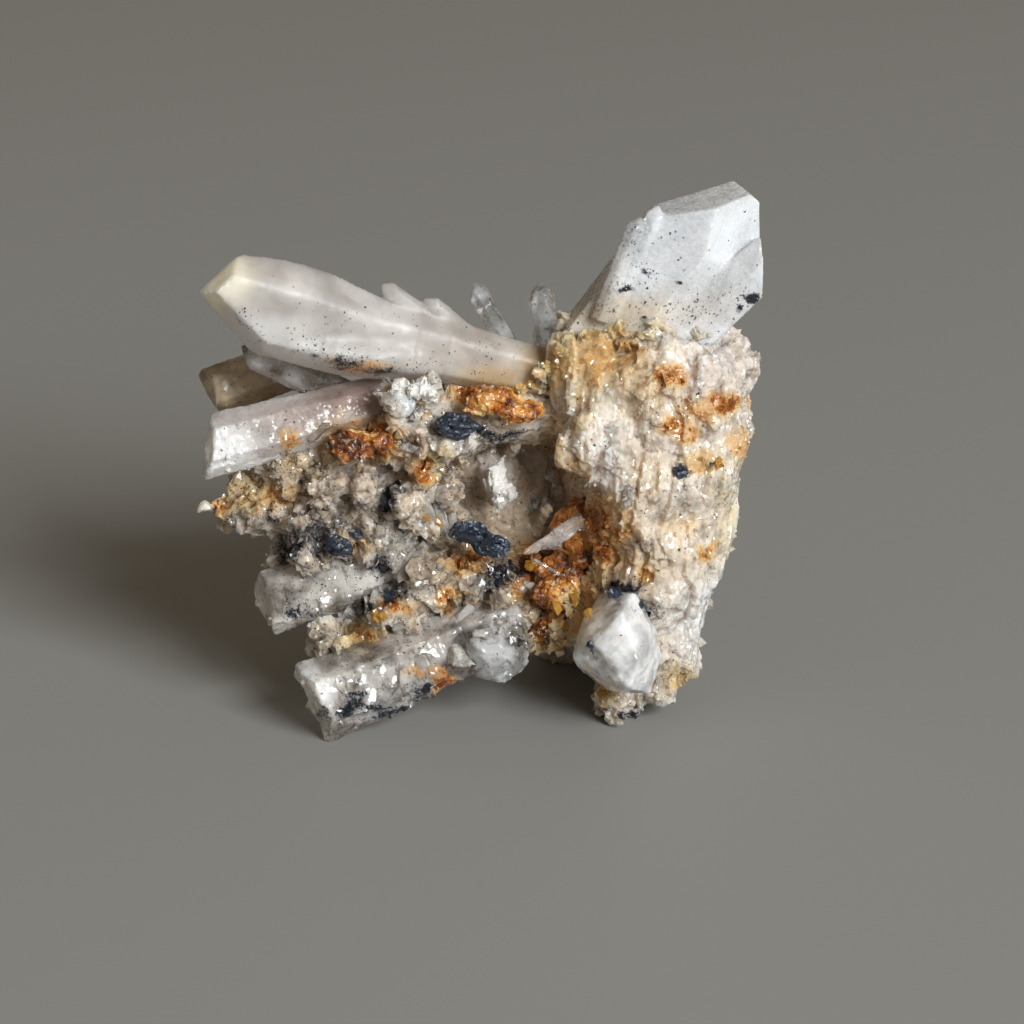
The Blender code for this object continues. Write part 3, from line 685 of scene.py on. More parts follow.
def grain_finish(name, tone, other, roughness=0.2, clear=0.0):
    """Small crystals and grains, each place a shade between two tones."""
    made = Finish(name, IOR=QUARTZ_IOR, Subsurface_Weight=0.25, Subsurface_Scale=0.5 * MM)
    made.set("Transmission Weight", clear)
    colour = made.mixed(made.clipped(made.noise(1.4 * MM), 0.35, 0.65), (*tone, 1.0), (*other, 1.0))
    made.wire(colour, "Base Color")
    made.wire(made.between(made.noise(0.5 * MM), roughness * 0.4, roughness * 1.7), "Roughness")
    return made.material


SUGARY = sugary_finish()
MILKY = milky_finish("milky_quartz", (0.3, 0.6), 4.0 * MM, 0.44, shine=0.25)
FROSTED = milky_finish("frosted_quartz", (0.12, 0.3), 2.4 * MM, 0.28, 0.3)
LEDGE = milky_finish("ledge_quartz", (0.2, 0.55), 2.0 * MM, 0.24, 0.2)
CLEAR = clear_finish("clear_quartz", (0.95, 0.96, 0.97), ((0.80, 0.82, 0.84), 25.0))
ICY = clear_finish("icy_quartz", (0.95, 0.94, 0.94), ((0.90, 0.90, 0.92), 15.0), (0.1, 0.6), 0.1, 0.35)
GLASSY = clear_finish("glassy_quartz", (0.94, 0.91, 0.88), ((0.86, 0.82, 0.78), 40.0), (0.45, 0.95), 0.1, 0.3)
SMOKY = clear_finish("smoky_quartz", (0.72, 0.57, 0.38), ((0.66, 0.50, 0.32), 120.0), (0.35, 0.8), 0.12)
OXIDE = oxide_finish()
AMBER_LIMONITE = limonite_finish("amber_limonite", 0.0)
HONEY_LIMONITE = limonite_finish("honey_limonite", 0.045)
HONEY_GRAINS = grain_finish("honey_grains", (0.70, 0.48, 0.20), (0.80, 0.68, 0.48), 0.16, 0.45)
PALE_GRAINS = grain_finish("pale_grains", (0.84, 0.76, 0.66), (0.72, 0.50, 0.26), 0.14, 0.5)
RUST_GRAINS = grain_finish("rust_grains", (0.20, 0.05, 0.01), (0.60, 0.25, 0.05), 0.5)
BLACK_GRAINS = grain_finish("black_grains", (0.01, 0.012, 0.018), (0.04, 0.05, 0.07), 0.35)
DRUSE = druse_finish()
GOLD = grain_finish("gold_quartz", (0.80, 0.46, 0.10), (0.62, 0.30, 0.05), 0.12, 0.5)


# Small things that are scattered: each shape is one closed solid of a few faces

def hexagon_point(name, length, slope, seed):
    """A six-sided crystal with uneven end faces, half a unit across, standing on z = 0."""
    rng = np.random.default_rng(seed)
    bm = bmesh.new()
    turns = [math.radians(60.0 * i + rng.uniform(-8.0, 8.0)) for i in range(6)]
    radii = [0.25 * rng.uniform(0.85, 1.15) for _ in range(6)]
    foot = [bm.verts.new((r * math.cos(t), r * math.sin(t), 0.0)) for r, t in zip(radii, turns)]
    heights = [length * rng.uniform(0.86, 1.08) for _ in range(6)]
    shoulder = [bm.verts.new((r * math.cos(t), r * math.sin(t), h)) for r, t, h in zip(radii, turns, heights)]
    lean = rng.uniform(-0.09, 0.09, 2)
    tip = bm.verts.new((lean[0], lean[1], length + slope))
    bm.faces.new(foot[::-1])
    for i in range(6):
        after = (i + 1) % 6
        bm.faces.new((foot[i], foot[after], shoulder[after], shoulder[i]))
        bm.faces.new((shoulder[i], shoulder[after], tip))
    mesh = bpy.data.meshes.new(name)
    bm.to_mesh(mesh)
    bm.free()
    return bpy.data.objects.new(name, mesh)


def chip(name, stretch, seed):
    """An angular chip with about a dozen faces, one unit across."""
    rng = np.random.default_rng(seed)
    bm = bmesh.new()
    for _ in range(9):
        way = rng.normal(size=3)
        way = way / np.linalg.norm(way) * rng.uniform(0.38, 0.55)
        bm.verts.new(way * np.array(stretch))
    made = bmesh.ops.convex_hull(bm, input=bm.verts)
    inside = [v for v in made["geom_interior"] + made["geom_unused"] if isinstance(v, bmesh.types.BMVert)]
    bmesh.ops.delete(bm, geom=list(dict.fromkeys(inside)), context="VERTS")
    bmesh.ops.recalc_face_normals(bm, faces=bm.faces)
    mesh = bpy.data.meshes.new(name)
    bm.to_mesh(mesh)
    bm.free()
    return bpy.data.objects.new(name, mesh)


def kit(name, shapes):
    """A collection of shapes that the scatter tree picks from."""
    made = bpy.data.collections.new(name)
    for shape in shapes:
        made.objects.link(shape)
    return made


POINTS = kit("points", [hexagon_point(f"point_{i}", 0.16 + 0.1 * i, 0.24, 60 + i) for i in range(4)])
CHIPS = kit("chips", [chip(f"chip_{i}", (1.0, 0.8, 0.7), 70 + i) for i in range(5)])
FLAKES = kit("flakes", [chip(f"flake_{i}", (1.0, 0.75, 0.35), 80 + i) for i in range(4)])


def scatter_tree():
    """The node tree that grows small shapes on a surface, more of them where a kept number is high."""
    tree = bpy.data.node_groups.new("scatter", "GeometryNodeTree")
    face = tree.interface
    face.new_socket("Geometry", in_out="INPUT", socket_type="NodeSocketGeometry")
    for name, kind, start in (
        ("Per Area", "NodeSocketFloat", 1e6),
        ("Where", "NodeSocketString", "weight"),
        ("Smallest", "NodeSocketFloat", 0.4 * MM),
        ("Largest", "NodeSocketFloat", 1.0 * MM),
        ("Tilt", "NodeSocketFloat", 0.5),
        ("Sink", "NodeSocketFloat", 0.2),
        ("Seed", "NodeSocketInt", 1),
        ("Shapes", "NodeSocketCollection", None),
        ("Finish", "NodeSocketMaterial", None),
    ):
        socket = face.new_socket(name, in_out="INPUT", socket_type=kind)
        if start is not None:
            socket.default_value = start
    face.new_socket("Geometry", in_out="OUTPUT", socket_type="NodeSocketGeometry")

    def node(kind, inputs=None, **settings):
        made = tree.nodes.new(kind)
        for key, value in settings.items():
            setattr(made, key, value)
        for key, value in (inputs or {}).items():
            if isinstance(value, bpy.types.NodeSocket):
                tree.links.new(value, made.inputs[key])
            else:
                made.inputs[key].default_value = value
        return made

    given = node("NodeGroupInput").outputs
    weight = node("GeometryNodeInputNamedAttribute", {"Name": given["Where"]}, data_type="FLOAT").outputs["Attribute"]
    density = node("ShaderNodeMath", {0: weight, 1: given["Per Area"]}, operation="MULTIPLY").outputs[0]
    spread = node(
        "GeometryNodeDistributePointsOnFaces",
        {"Mesh": given["Geometry"], "Density": density, "Seed": given["Seed"]},
        distribute_method="RANDOM",
    )
    shapes = node(
        "GeometryNodeCollectionInfo", {"Collection": given["Shapes"], "Separate Children": True, "Reset Children": True}
    )
    least = node("ShaderNodeMath", {0: given["Tilt"], 1: -1.0}, operation="MULTIPLY").outputs[0]
    turn = node(
        "FunctionNodeRandomValue",
        {
            0: node("ShaderNodeCombineXYZ", {"X": least, "Y": least, "Z": -math.pi}).outputs[0],
            1: node("ShaderNodeCombineXYZ", {"X": given["Tilt"], "Y": given["Tilt"], "Z": math.pi}).outputs[0],
            "Seed": given["Seed"],
        },
        data_type="FLOAT_VECTOR",
    ).outputs[0]
    turned = node(
        "FunctionNodeRotateRotation",
        {"Rotation": spread.outputs["Rotation"], "Rotate By": node("FunctionNodeEulerToRotation", {0: turn}).outputs[0]},
        rotation_space="LOCAL",
    ).outputs[0]
    share = node("FunctionNodeRandomValue", {2: 0.0, 3: 1.0, "Seed": 5}, data_type="FLOAT").outputs[1]
    uneven = node("ShaderNodeMath", {0: share, 1: 2.0}, operation="POWER").outputs[0]
    scale = node(
        "ShaderNodeMapRange", {"Value": uneven, "To Min": given["Smallest"], "To Max": given["Largest"]}
    ).outputs[0]
    grown = node(
        "GeometryNodeInstanceOnPoints",
        {
            "Points": spread.outputs["Points"],
            "Instance": shapes.outputs[0],
            "Pick Instance": True,
            "Rotation": turned,
            "Scale": scale,
        },
    )
    down = node("ShaderNodeMath", {0: given["Sink"], 1: -1.0}, operation="MULTIPLY").outputs[0]
    sunk = node(
        "GeometryNodeTranslateInstances",
        {
            "Instances": grown.outputs[0],
            "Translation": node("ShaderNodeCombineXYZ", {"Z": down}).outputs[0],
            "Local Space": True,
        },
    )
    real = node("GeometryNodeRealizeInstances", {"Geometry": sunk.outputs[0]})
    dressed = node("GeometryNodeSetMaterial", {"Geometry": real.outputs[0], "Material": given["Finish"]})
    tree.links.new(dressed.outputs[0], node("NodeGroupOutput").inputs[0])
    return tree


SCATTER = scatter_tree()


def grow(name, carrier, slot, **inputs):
    """A piece of small shapes grown on a carrier, as one plain mesh."""
    work = carrier.modifiers.new("grow", "NODES")
    work.node_group = SCATTER
    sockets = {s.name: s.identifier for s in SCATTER.interface.items_tree if s.in_out == "INPUT"}
    for key, value in inputs.items():
        work[sockets[key.replace("_", " ")]] = value
    bpy.context.view_layer.update()
    mesh = bpy.data.meshes.new_from_object(carrier.evaluated_get(bpy.context.evaluated_depsgraph_get()))
    carrier.modifiers.remove(work)
    mesh.name = name
    for layer in [a.name for a in mesh.attributes if a.name in GROWING_NUMBERS]:
        mesh.attributes.remove(mesh.attributes[layer])
    piece = link(name, mesh)
    move_to(piece, spots_of(piece)[0])
    mesh.shade_flat()
    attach(piece, "root")
    return piece


GROWING_NUMBERS = ("white", "grain", "honey", "rust", "soot")


# The pieces

def dress(piece, finish, slot, *nodes):
    piece.data.materials.clear()
    piece.data.materials.append(finish)
    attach(piece, "root")
    if nodes:
        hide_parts(*nodes)


def tree_of(*nodes):
    """A search tree of the surfaces of some CAD nodes."""
    points = []
    faces = []
    for node in nodes:
        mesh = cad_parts[node].data
        start = len(points)
        points += [v.co.copy() for v in mesh.vertices]
        faces += [[start + i for i in p.vertices] for p in mesh.polygons]
    return BVHTree.FromPolygons(points, faces)


CRYSTALS = (
    "great_crystal",
    "wing_crystal",
    "upper_ledge_crystal",
    "middle_ledge_crystal",
    "left_foot_crystal",
    "right_foot_crystal",
    "facet_crystal",
    "spike_crystal",
    "smoky_crystal",
    "glassy_crystal",
    "left_standing_crystal",
    "right_standing_crystal",
)
LUMPS = ("dark_lump_upper", "dark_lump_lower", "dark_lump_left")
RUSTY = ("limonite_left", "limonite_bridge", "limonite_hollow")

SEAM = 0.55 * MM
OVERLAP = 0.12 * MM


def close_seams(places, others):
    """Draws the surface over the narrow gap that the solids keep between them."""
    near = tree_of(*others)
    for i, place in enumerate(places):
        spot, normal, _, distance = near.find_nearest(Vector(place), SEAM)
        if spot is not None:
            places[i] = np.array(spot - normal * OVERLAP)
    return places


def broken(places, ways, size, lean_by, step, salt):
    """Turns a skin into flat facets of one size, each with its own lean and step."""
    offset, lean, number = blocks(places, size, salt)
    rise = (offset * lean).sum(1) * lean_by + (number - 0.5) * step * size
    return rise


# Where the mass is smooth, where it is fibrous, and where small crystals cover it
SMOOTH_PARTS = (
    (12.4, 19.4, 7.4, 5.4, 1.0),
    (5.0, 19.0, 4.0, 3.0, 0.8),
    (20.0, 24.0, 8.0, 3.6, 0.8),
    (2.0, 3.0, 6.0, 9.0, 0.7),
    (27.0, -4.0, 2.4, 12.0, 1.0),
    (24.6, -13.0, 3.0, 5.0, 0.8),
    (20.0, 1.0, 6.0, 5.0, 0.5),
)
FIBROUS_PARTS = ((11.6, 10.6, 5.2, 5.6, 1.0), (22.6, -12.0, 3.4, 4.6, 0.8), (9.0, 14.0, 3.4, 2.4, 0.6))
FIBRE_WAY = np.array((0.12, 0.0, 0.993))
DRUSY_PARTS = (
    (-30.0, 4.0, 10.0, 5.0, 1.0),
    (-22.0, -2.0, 9.0, 6.0, 1.0),
    (-24.0, -12.0, 8.0, 6.0, 0.8),
    (-12.4, 14.8, 4.6, 3.2, 1.0),
    (-17.0, -16.0, 7.0, 4.0, 0.7),
    (-8.0, -4.0, 6.0, 7.0, 0.9),
    (-4.0, -12.0, 7.0, 5.0, 0.9),
    (20.0, 12.0, 3.6, 3.6, 0.5),
    (10.0, -4.0, 4.0, 9.0, 0.5),
    (12.0, -24.0, 5.0, 3.0, 0.8),
    (20.0, -20.0, 4.0, 4.0, 0.5),
    (-8.0, 7.0, 6.0, 3.0, 0.9),
)


def shattered(piece, share):
    """Leaves only that share of the faces, so that a rough skin becomes small flat breaks."""
    shaped(piece, "DECIMATE", ratio=share)


def quartz_mass():
    piece = copy_of("sugary_mass", "quartz_mass")
    shaped(piece, "REMESH", mode="VOXEL", voxel_size=0.34 * MM)
    places, ways = spots_of(piece)
    u, v, depth = on_face(places)
    places = eased(piece, places, ramp(u, 5.0, 10.0), 30)
    move_to(piece, places)
    places, ways = spots_of(piece)
    seen = ramp(-(ways @ EYE_FORWARD), -0.2, 0.2)
    drusy = in_spots(u, v, DRUSY_PARTS) * seen + (1.0 - seen) * ramp(rough_noise(places, 6.0 * MM, 2, 9), -0.2, 0.5)
    calm = 1.0 - 0.85 * in_spots(u, v, SMOOTH_PARTS) * seen
    rough = calm * (0.22 + 0.78 * drusy)
    rise = broken(places, ways, 3.6 * MM, 0.4, 0.1, 100) * calm * (0.55 + 1.0 * ramp(-u, 2.0, 8.0))
    rise += broken(places, ways, 2.3 * MM, 0.75, 0.3, 120) * drusy * ramp(-u, 0.0, 8.0)
    rise += broken(places, ways, 1.6 * MM, 0.5, 0.2, 140) * rough
    rise += broken(places, ways, 0.85 * MM, 0.5, 0.24, 180) * rough * drusy
    blades = places - (places @ FIBRE_WAY)[:, None] * FIBRE_WAY * 0.72
    right = ramp(u, 3.0, 9.0) * seen
    rise += broken(blades, ways, 3.4 * MM, 0.3, 0.1, 150) * right
    rise += broken(blades, ways, 1.3 * MM, 0.25, 0.1, 160) * right * (0.25 + 0.75 * calm)
    across = places - (places @ FIBRE_WAY)[:, None] * FIBRE_WAY * 0.9
    fibrous = np.maximum(in_spots(u, v, FIBROUS_PARTS), 0.4 * ramp(u, 6.0, 10.0))
    rise += smooth_noise(across, 0.7 * MM, 15) * 0.26 * MM * fibrous * seen
    places += ways * rise[:, None]
    move_to(piece, places)
    shattered(piece, 0.5)
    places, ways = spots_of(piece)
    places = close_seams(places, CRYSTALS + LUMPS + RUSTY + ("hollow_crust",))
    places[:, 2] = np.maximum(places[:, 2], 0.0)
    move_to(piece, places)
    places, ways = spots_of(piece)
    tint, amounts = stain(places, ways)
    u, v, depth = on_face(places)
    seen = ramp(-(ways @ EYE_FORWARD), -0.2, 0.2)
    left = ramp(-u, -4.0, 12.0)
    own = blocks(places, 2.3 * MM, 120)[2] - 0.5
    tint = np.clip(tint * (1.0 + own * (0.16 + 0.7 * left))[:, None], 0.0, 1.0)
    clumps = ramp(rough_noise(places, 3.0 * MM, 3, 12), -0.15, 0.55) * (1.0 - own)
    keep(piece, tint, amounts, 0.03 + clumps * (0.1 + 0.6 * left) + 0.5 * amounts["soot"])
    drusy = in_spots(u, v, DRUSY_PARTS) * seen + (1.0 - seen) * (0.3 + 0.5 * ramp(rough_noise(places, 5.0 * MM), 0.0, 0.5))
    calm = 1.0 - 0.95 * in_spots(u, v, SMOOTH_PARTS) * seen
    dark = np.maximum(amounts["rust"], amounts["soot"])
    note(piece, "white", np.clip(drusy * (1.0 - 0.7 * dark), 0.0, 1.0))
    note(piece, "grain", np.clip(0.5 - 0.4 * dark, 0.0, 1.0) * calm * (0.3 + 0.7 * drusy) * (1.0 - 0.6 * left))
    note(piece, "honey", np.clip(amounts["honey"] - dark, 0.0, 1.0) * calm)
    note(piece, "rust", amounts["rust"] ** 2)
    note(piece, "soot", amounts["soot"] ** 2 + 0.02 + 0.1 * clumps * left)
    shade(piece)
    dress(piece, SUGARY, "sugary_quartz", "quartz_mass")
    return piece


def striated(places, axis, ways, spacing, depth, salt):
    """Growth lines across a crystal's long faces."""
    run = places @ axis
    line = run + 0.25 * spacing * rough_noise(places, 5.0 * MM, 2, salt)
    cell = np.floor(line / spacing)
    height = hashed(np.stack([cell, cell * 0.0, cell * 0.0], axis=1), salt)
    side = 1.0 - np.abs(ways @ axis)
    return places + ways * ((height - 0.5) * depth * ramp(side, 0.55, 0.8))[:, None]


def principal_axis(places):
    """The way in which a cloud of points is longest."""
    centred = places - places.mean(0)
    _, ways = np.linalg.eigh(centred.T @ centred)
    return ways[:, -1]


def crystal(name, node, finish, slot, voxel=0.26, lines=0.05, chips=0.06, breaks=0.0, worn=0.2, rubbed=(), swell=(),
            colour=None):
    """A crystal of the frame with worn edges, growth lines, chips, broken places and stains."""
    piece = copy_of(name, node)
    shaped(piece, "BEVEL", width=worn * MM, segments=4, limit_method="ANGLE", angle_limit=math.radians(25.0))
    shaped(piece, "REMESH", mode="VOXEL", voxel_size=voxel * MM)
    places, ways = spots_of(piece)
    if rubbed:
        u, v, _ = on_face(places)
        places = eased(piece, places, in_spots(u, v, rubbed), 60)
    places = striated(places, principal_axis(places), ways, 0.5 * MM, lines * MM, len(name))
    rise = rough_noise(places, 2.5 * MM, 3, 61) * chips * MM
    u, v, _ = on_face(places)
    rise += in_spots(u, v, swell) * MM
    if breaks:
        below = 0.25 + 0.75 * ramp(-ways[:, 2], -0.75, -0.1)
        where = ramp(rough_noise(places, 5.0 * MM, 2, 63), -0.5, 0.2) * breaks * below
        rise += broken(places, ways, 3.4 * MM, 0.5, 0.16, 620) * where
        rise += broken(places, ways, 1.6 * MM, 0.4, 0.16, 660) * where
    places += ways * rise[:, None]
    places[:, 2] = np.maximum(places[:, 2], 0.0)
    move_to(piece, places)
    if breaks:
        shattered(piece, 0.4)
    places, ways = spots_of(piece)
    tint, amounts = stain(places, ways)
    tint, amounts, specks = colour(places, ways, tint, amounts)
    keep(piece, tint, amounts, specks)
    dark = np.maximum(amounts["rust"], amounts["soot"])
    patches = ramp(rough_noise(places, 3.4 * MM, 3, 64), 0.0, 0.5) * (1.0 - 0.8 * dark)
    note(piece, "grain", patches * (0.1 + 0.9 * ramp(-ways[:, 2], -0.3, 0.5)))
    note(piece, "soot", amounts["soot"] ** 2)
    shade(piece, 24.0 if not breaks else 12.0)
    dress(piece, finish, slot, node)
    return piece


def streaked(tint, places, way, depth, salt):
    """Darkens a colour in fine streaks that run along a way."""
    across = places - 0.93 * (places @ way)[:, None] * way
    return tint * (1.0 - depth * ramp(rough_noise(across, 1.5 * MM, 3, salt), 0.0, 0.7))[:, None]


GREAT_WAY = -0.963 * np.array((1.0, 0.0, 0.0)) + 0.27 * EYE_UP
WING_WAY = 0.37 * np.array((1.0, 0.0, 0.0)) + 0.93 * EYE_UP
GREAT_TONE = np.array((0.66, 0.615, 0.58))
GREAT_LIGHT = np.array((0.85, 0.80, 0.765))
GREAT_TIP = ((-35.6, 29.4, 3.4, 3.6, 1.0), (-37.4, 26.6, 2.0, 2.2, 0.9))
GREAT_GREY = ((-31.0, 22.6, 5.4, 2.4, 0.8), (-25.0, 20.4, 5.0, 1.8, 0.6))
GREAT_SPECKS = (
    (-32.6, 23.0, 3.4, 2.4, 0.5),
    (-29.0, 22.2, 4.0, 1.8, 0.5),
    (-26.4, 21.0, 3.4, 1.4, 0.6),
    (-23.4, 20.2, 3.4, 1.4, 0.7),
    (-19.6, 19.0, 5.6, 1.6, 1.0),
    (-15.0, 18.2, 4.0, 1.4, 0.9),
    (-11.0, 18.4, 5.0, 2.4, 0.3),
    (-4.0, 19.4, 4.0, 3.2, 0.35),
    (-6.0, 22.0, 5.0, 2.0, 0.3),
    (-14.0, 24.0, 9.0, 2.0, 0.16),
    (-26.0, 24.0, 9.0, 3.0, 0.16),
)
GREAT_SOOT = ((-20.6, 18.6, 3.0, 0.9, 0.8), (-16.4, 17.8, 2.6, 0.8, 0.75), (-24.6, 19.8, 1.4, 0.7, 0.6))
GREAT_RUST = ((-18.4, 18.2, 4.0, 0.9, 0.6), (-3.0, 15.0, 4.0, 1.2, 0.7), (-22.0, 18.6, 1.4, 0.6, 0.5))
GREAT_WASHES = (
    (-4.0, 19.6, 8.0, 4.0, 0.7, (0.62, 0.54, 0.46)),
    (-16.0, 20.0, 6.0, 1.6, 0.4, (0.60, 0.55, 0.51)),
    (-17.0, 25.0, 6.0, 2.2, 0.4, (0.80, 0.76, 0.73)),
    (-30.0, 27.0, 6.0, 2.0, 0.5, (0.78, 0.74, 0.70)),
)
GREAT_HONEY = ((-2.0, 16.6, 5.6, 2.0, 0.7), (3.6, 17.6, 3.4, 4.0, 0.8))
GREAT_CLEAR = ((-31.0, 22.8, 6.4, 2.8, 0.1),)
GREAT_SWELL = ((-25.0, 30.0, 9.0, 3.6, 1.3), (-19.0, 18.6, 9.0, 2.4, 1.0))
GREAT_RIDGE = tuple((-30.0 + 3.0 * i, 27.0 - 0.62 * i, 4.0, 1.3, 1.0) for i in range(12))
# The tip's cream and grey faces: their own tones, raised as painted light because the tip lies in shade
CREAM_AND_PAINTED_LIGHT_TONE = np.array((1.0, 0.91, 0.68))
GREY_AND_PAINTED_LIGHT_TONE = np.array((0.80, 0.80, 0.79))


def great_colour(places, ways, tint, amounts):
    u, v, _ = wandering(places, 0.5)
    wash = rough_noise(places, 7.0 * MM, 3, 71)
    tint = GREAT_TONE + (GREAT_LIGHT - GREAT_TONE) * ramp(wash, -0.6, 0.9)[:, None]
    # Painted light: the tip's faces get tones lighter than their shade, standing in for light through the crystal
    for spots, tone, most in ((GREAT_TIP, CREAM_AND_PAINTED_LIGHT_TONE, 0.75), (GREAT_GREY, GREY_AND_PAINTED_LIGHT_TONE, 0.6)):
        tint = tint + (tone - tint) * (in_spots(u, v, spots) * most)[:, None]
    tint = streaked(washed(tint, u, v, GREAT_WASHES), places, GREAT_WAY, 0.1, 73)
    facing = ramp(-(ways @ EYE_FORWARD), -0.2, 0.2)
    amounts["honey"] = in_spots(u, v, GREAT_HONEY) * facing
    amounts["soot"] = in_spots(u, v, GREAT_SOOT) * facing
    amounts["rust"] = in_spots(u, v, GREAT_RUST) * facing
    amounts["clear"] = in_spots(u, v, GREAT_CLEAR)
    amounts["milk"] = np.maximum(in_spots(u, v, GREAT_TIP) * 0.8, in_spots(u, v, GREAT_GREY) * 0.5)
    clumps = ramp(rough_noise(places, 2.2 * MM, 3, 72), -0.5, 0.2)
    return tint, amounts, in_spots(u, v, GREAT_SPECKS) * facing * clumps + 0.012


WING_TONE = np.array((0.78, 0.80, 0.825))
WING_LIGHT = np.array((0.93, 0.945, 0.965))
WING_SPECKS = (
    (15.0, 28.2, 3.0, 1.6, 1.0),
    (17.4, 30.0, 1.8, 1.4, 0.9),
    (29.4, 26.4, 1.8, 1.8, 1.0),
    (20.0, 25.4, 9.0, 2.4, 0.7),
    (11.0, 24.0, 4.0, 2.6, 0.8),
    (25.6, 27.4, 5.0, 2.4, 0.5),
    (14.6, 34.6, 2.0, 2.8, 0.7),
    (13.0, 31.0, 2.4, 3.0, 0.4),
    (19.6, 35.0, 2.4, 2.0, 0.3),
)
WING_SOOT = (
    (14.3, 27.8, 1.5, 0.6, 0.9),
    (16.9, 30.0, 1.1, 0.5, 0.7),
    (11.9, 27.7, 0.6, 0.4, 0.7),
    (16.2, 24.1, 0.6, 0.5, 0.9),
    (30.0, 26.6, 1.2, 0.6, 1.0),
    (28.4, 25.2, 0.6, 0.5, 0.9),
    (20.6, 28.6, 0.7, 0.4, 0.7),
    (12.8, 25.4, 0.8, 0.5, 0.7),
    (6.4, 22.8, 0.9, 1.0, 0.8),
)
WING_WASHES = (
    (25.4, 29.0, 6.0, 1.8, 0.4, (0.70, 0.70, 0.70)),
    (22.0, 25.6, 9.0, 2.8, 0.6, (0.80, 0.74, 0.69)),
    (11.6, 29.0, 3.0, 7.0, 0.6, (0.98, 0.90, 0.82)),
    (8.4, 24.4, 4.4, 3.4, 0.85, (0.80, 0.69, 0.58)),
    (14.6, 24.6, 5.4, 2.4, 0.8, (0.80, 0.67, 0.50)),
)
WING_CLEAR = ((11.0, 28.6, 3.0, 5.4, 0.35), (15.0, 35.0, 2.4, 4.6, 0.4))
WING_HONEY = ((9.6, 21.0, 4.0, 1.8, 0.7), (13.6, 21.6, 3.4, 1.6, 0.8), (19.6, 20.6, 2.4, 1.4, 0.4))


def wing_colour(places, ways, tint, amounts):
    u, v, _ = wandering(places, 0.5)
    wash = rough_noise(places, 6.0 * MM, 2, 81)
    tint = WING_TONE + (WING_LIGHT - WING_TONE) * ramp(wash, -0.5, 0.6)[:, None]
    tint = streaked(washed(tint, u, v, WING_WASHES), places, WING_WAY, 0.16, 83)
    facing = ramp(-(ways @ EYE_FORWARD), -0.2, 0.2)
    amounts["soot"] = in_spots(u, v, WING_SOOT) * facing
    amounts["rust"] = amounts["rust"] * 0.0
    amounts["honey"] = in_spots(u, v, WING_HONEY) * facing
    amounts["clear"] = in_spots(u, v, WING_CLEAR)
    clumps = ramp(rough_noise(places, 2.0 * MM, 3, 82), -0.7, 0.1)
    return tint, amounts, in_spots(u, v, WING_SPECKS) * facing * clumps + 0.02


def plain_colour(base, stains=1.0, specks=0.06, washes=()):
    """Colours a crystal in one tone and soft washes, with some of the display face's stains over it."""
    def colour(places, ways, tint, amounts):
        wash = rough_noise(places, 3.0 * MM, 3, 91)
        u, v, _ = wandering(places)
        plain = washed(np.clip(np.array(base) * (1.0 + 0.1 * wash)[:, None], 0.0, 1.0), u, v, washes)
        for name in ("honey", "rust", "soot"):
            amounts[name] = amounts[name] * stains
        return plain, amounts, specks + 0.5 * amounts["soot"]
    return colour


def lump(name, node, finish, slot, voxel, rough, lean, sink, salt, drawn=0.0):
    """An earthy or metallic lump with a broken skin, part of it sunk into the quartz, in blades where drawn."""
    piece = copy_of(name, node)
    shaped(piece, "REMESH", mode="VOXEL", voxel_size=voxel * MM)
    places, ways = spots_of(piece)
    axis = principal_axis(places)
    across = places - (places @ axis)[:, None] * axis * drawn
    rise = broken(across, ways, 1.9 * MM, lean, 0.2, salt) + broken(across, ways, 0.9 * MM, lean * 0.7, 0.15, salt + 40)
    rise += (rough_noise(places, 3.4 * MM, 4, salt) * rough - sink) * MM
    places += ways * rise[:, None]
    move_to(piece, places)
    shattered(piece, 0.5)
    places, ways = spots_of(piece)
    patchy = ramp(rough_noise(places, 1.8 * MM, 3, salt + 60), 0.05, 0.5)
    note(piece, "rust", 1.0 - patchy)
    note(piece, "grain", patchy)
    shade(piece)
    dress(piece, finish, slot, node)
    return piece


def hollow_crust():
    piece = copy_of("crust", "hollow_crust")
    shaped(piece, "REMESH", mode="VOXEL", voxel_size=0.24 * MM)
    places, ways = spots_of(piece)
    rise = broken(places, ways, 1.5 * MM, 0.22, 0.08, 300) + broken(places, ways, 0.8 * MM, 0.25, 0.08, 340)
    places += ways * rise[:, None]
    move_to(piece, places)
    places, ways = spots_of(piece)
    tint, amounts = stain(places, ways, np.array((0.82, 0.68, 0.50)))
    keep(piece, tint, amounts, amounts["soot"] + 0.1)
    shade(piece, 28.0)
    dress(piece, LEDGE, "clear_quartz", "hollow_crust")
    return piece


ALL_NODES = tree_of(*CRYSTALS, *LUMPS, *RUSTY, "hollow_crust", "quartz_mass")


def touch(u, v):
    """The place on the specimen that is seen at (u, v) on the display face, and the way to the eye."""
    ray = EYE_FORWARD * EYE_DISTANCE + np.array((u, 0.0, 0.0)) + EYE_UP * v
    ray = Vector(ray / np.linalg.norm(ray))
    start = Vector((EYE - BASE_MIDDLE) * MM)
    spot, _, _, _ = ALL_NODES.ray_cast(start, ray)
    return spot, -ray


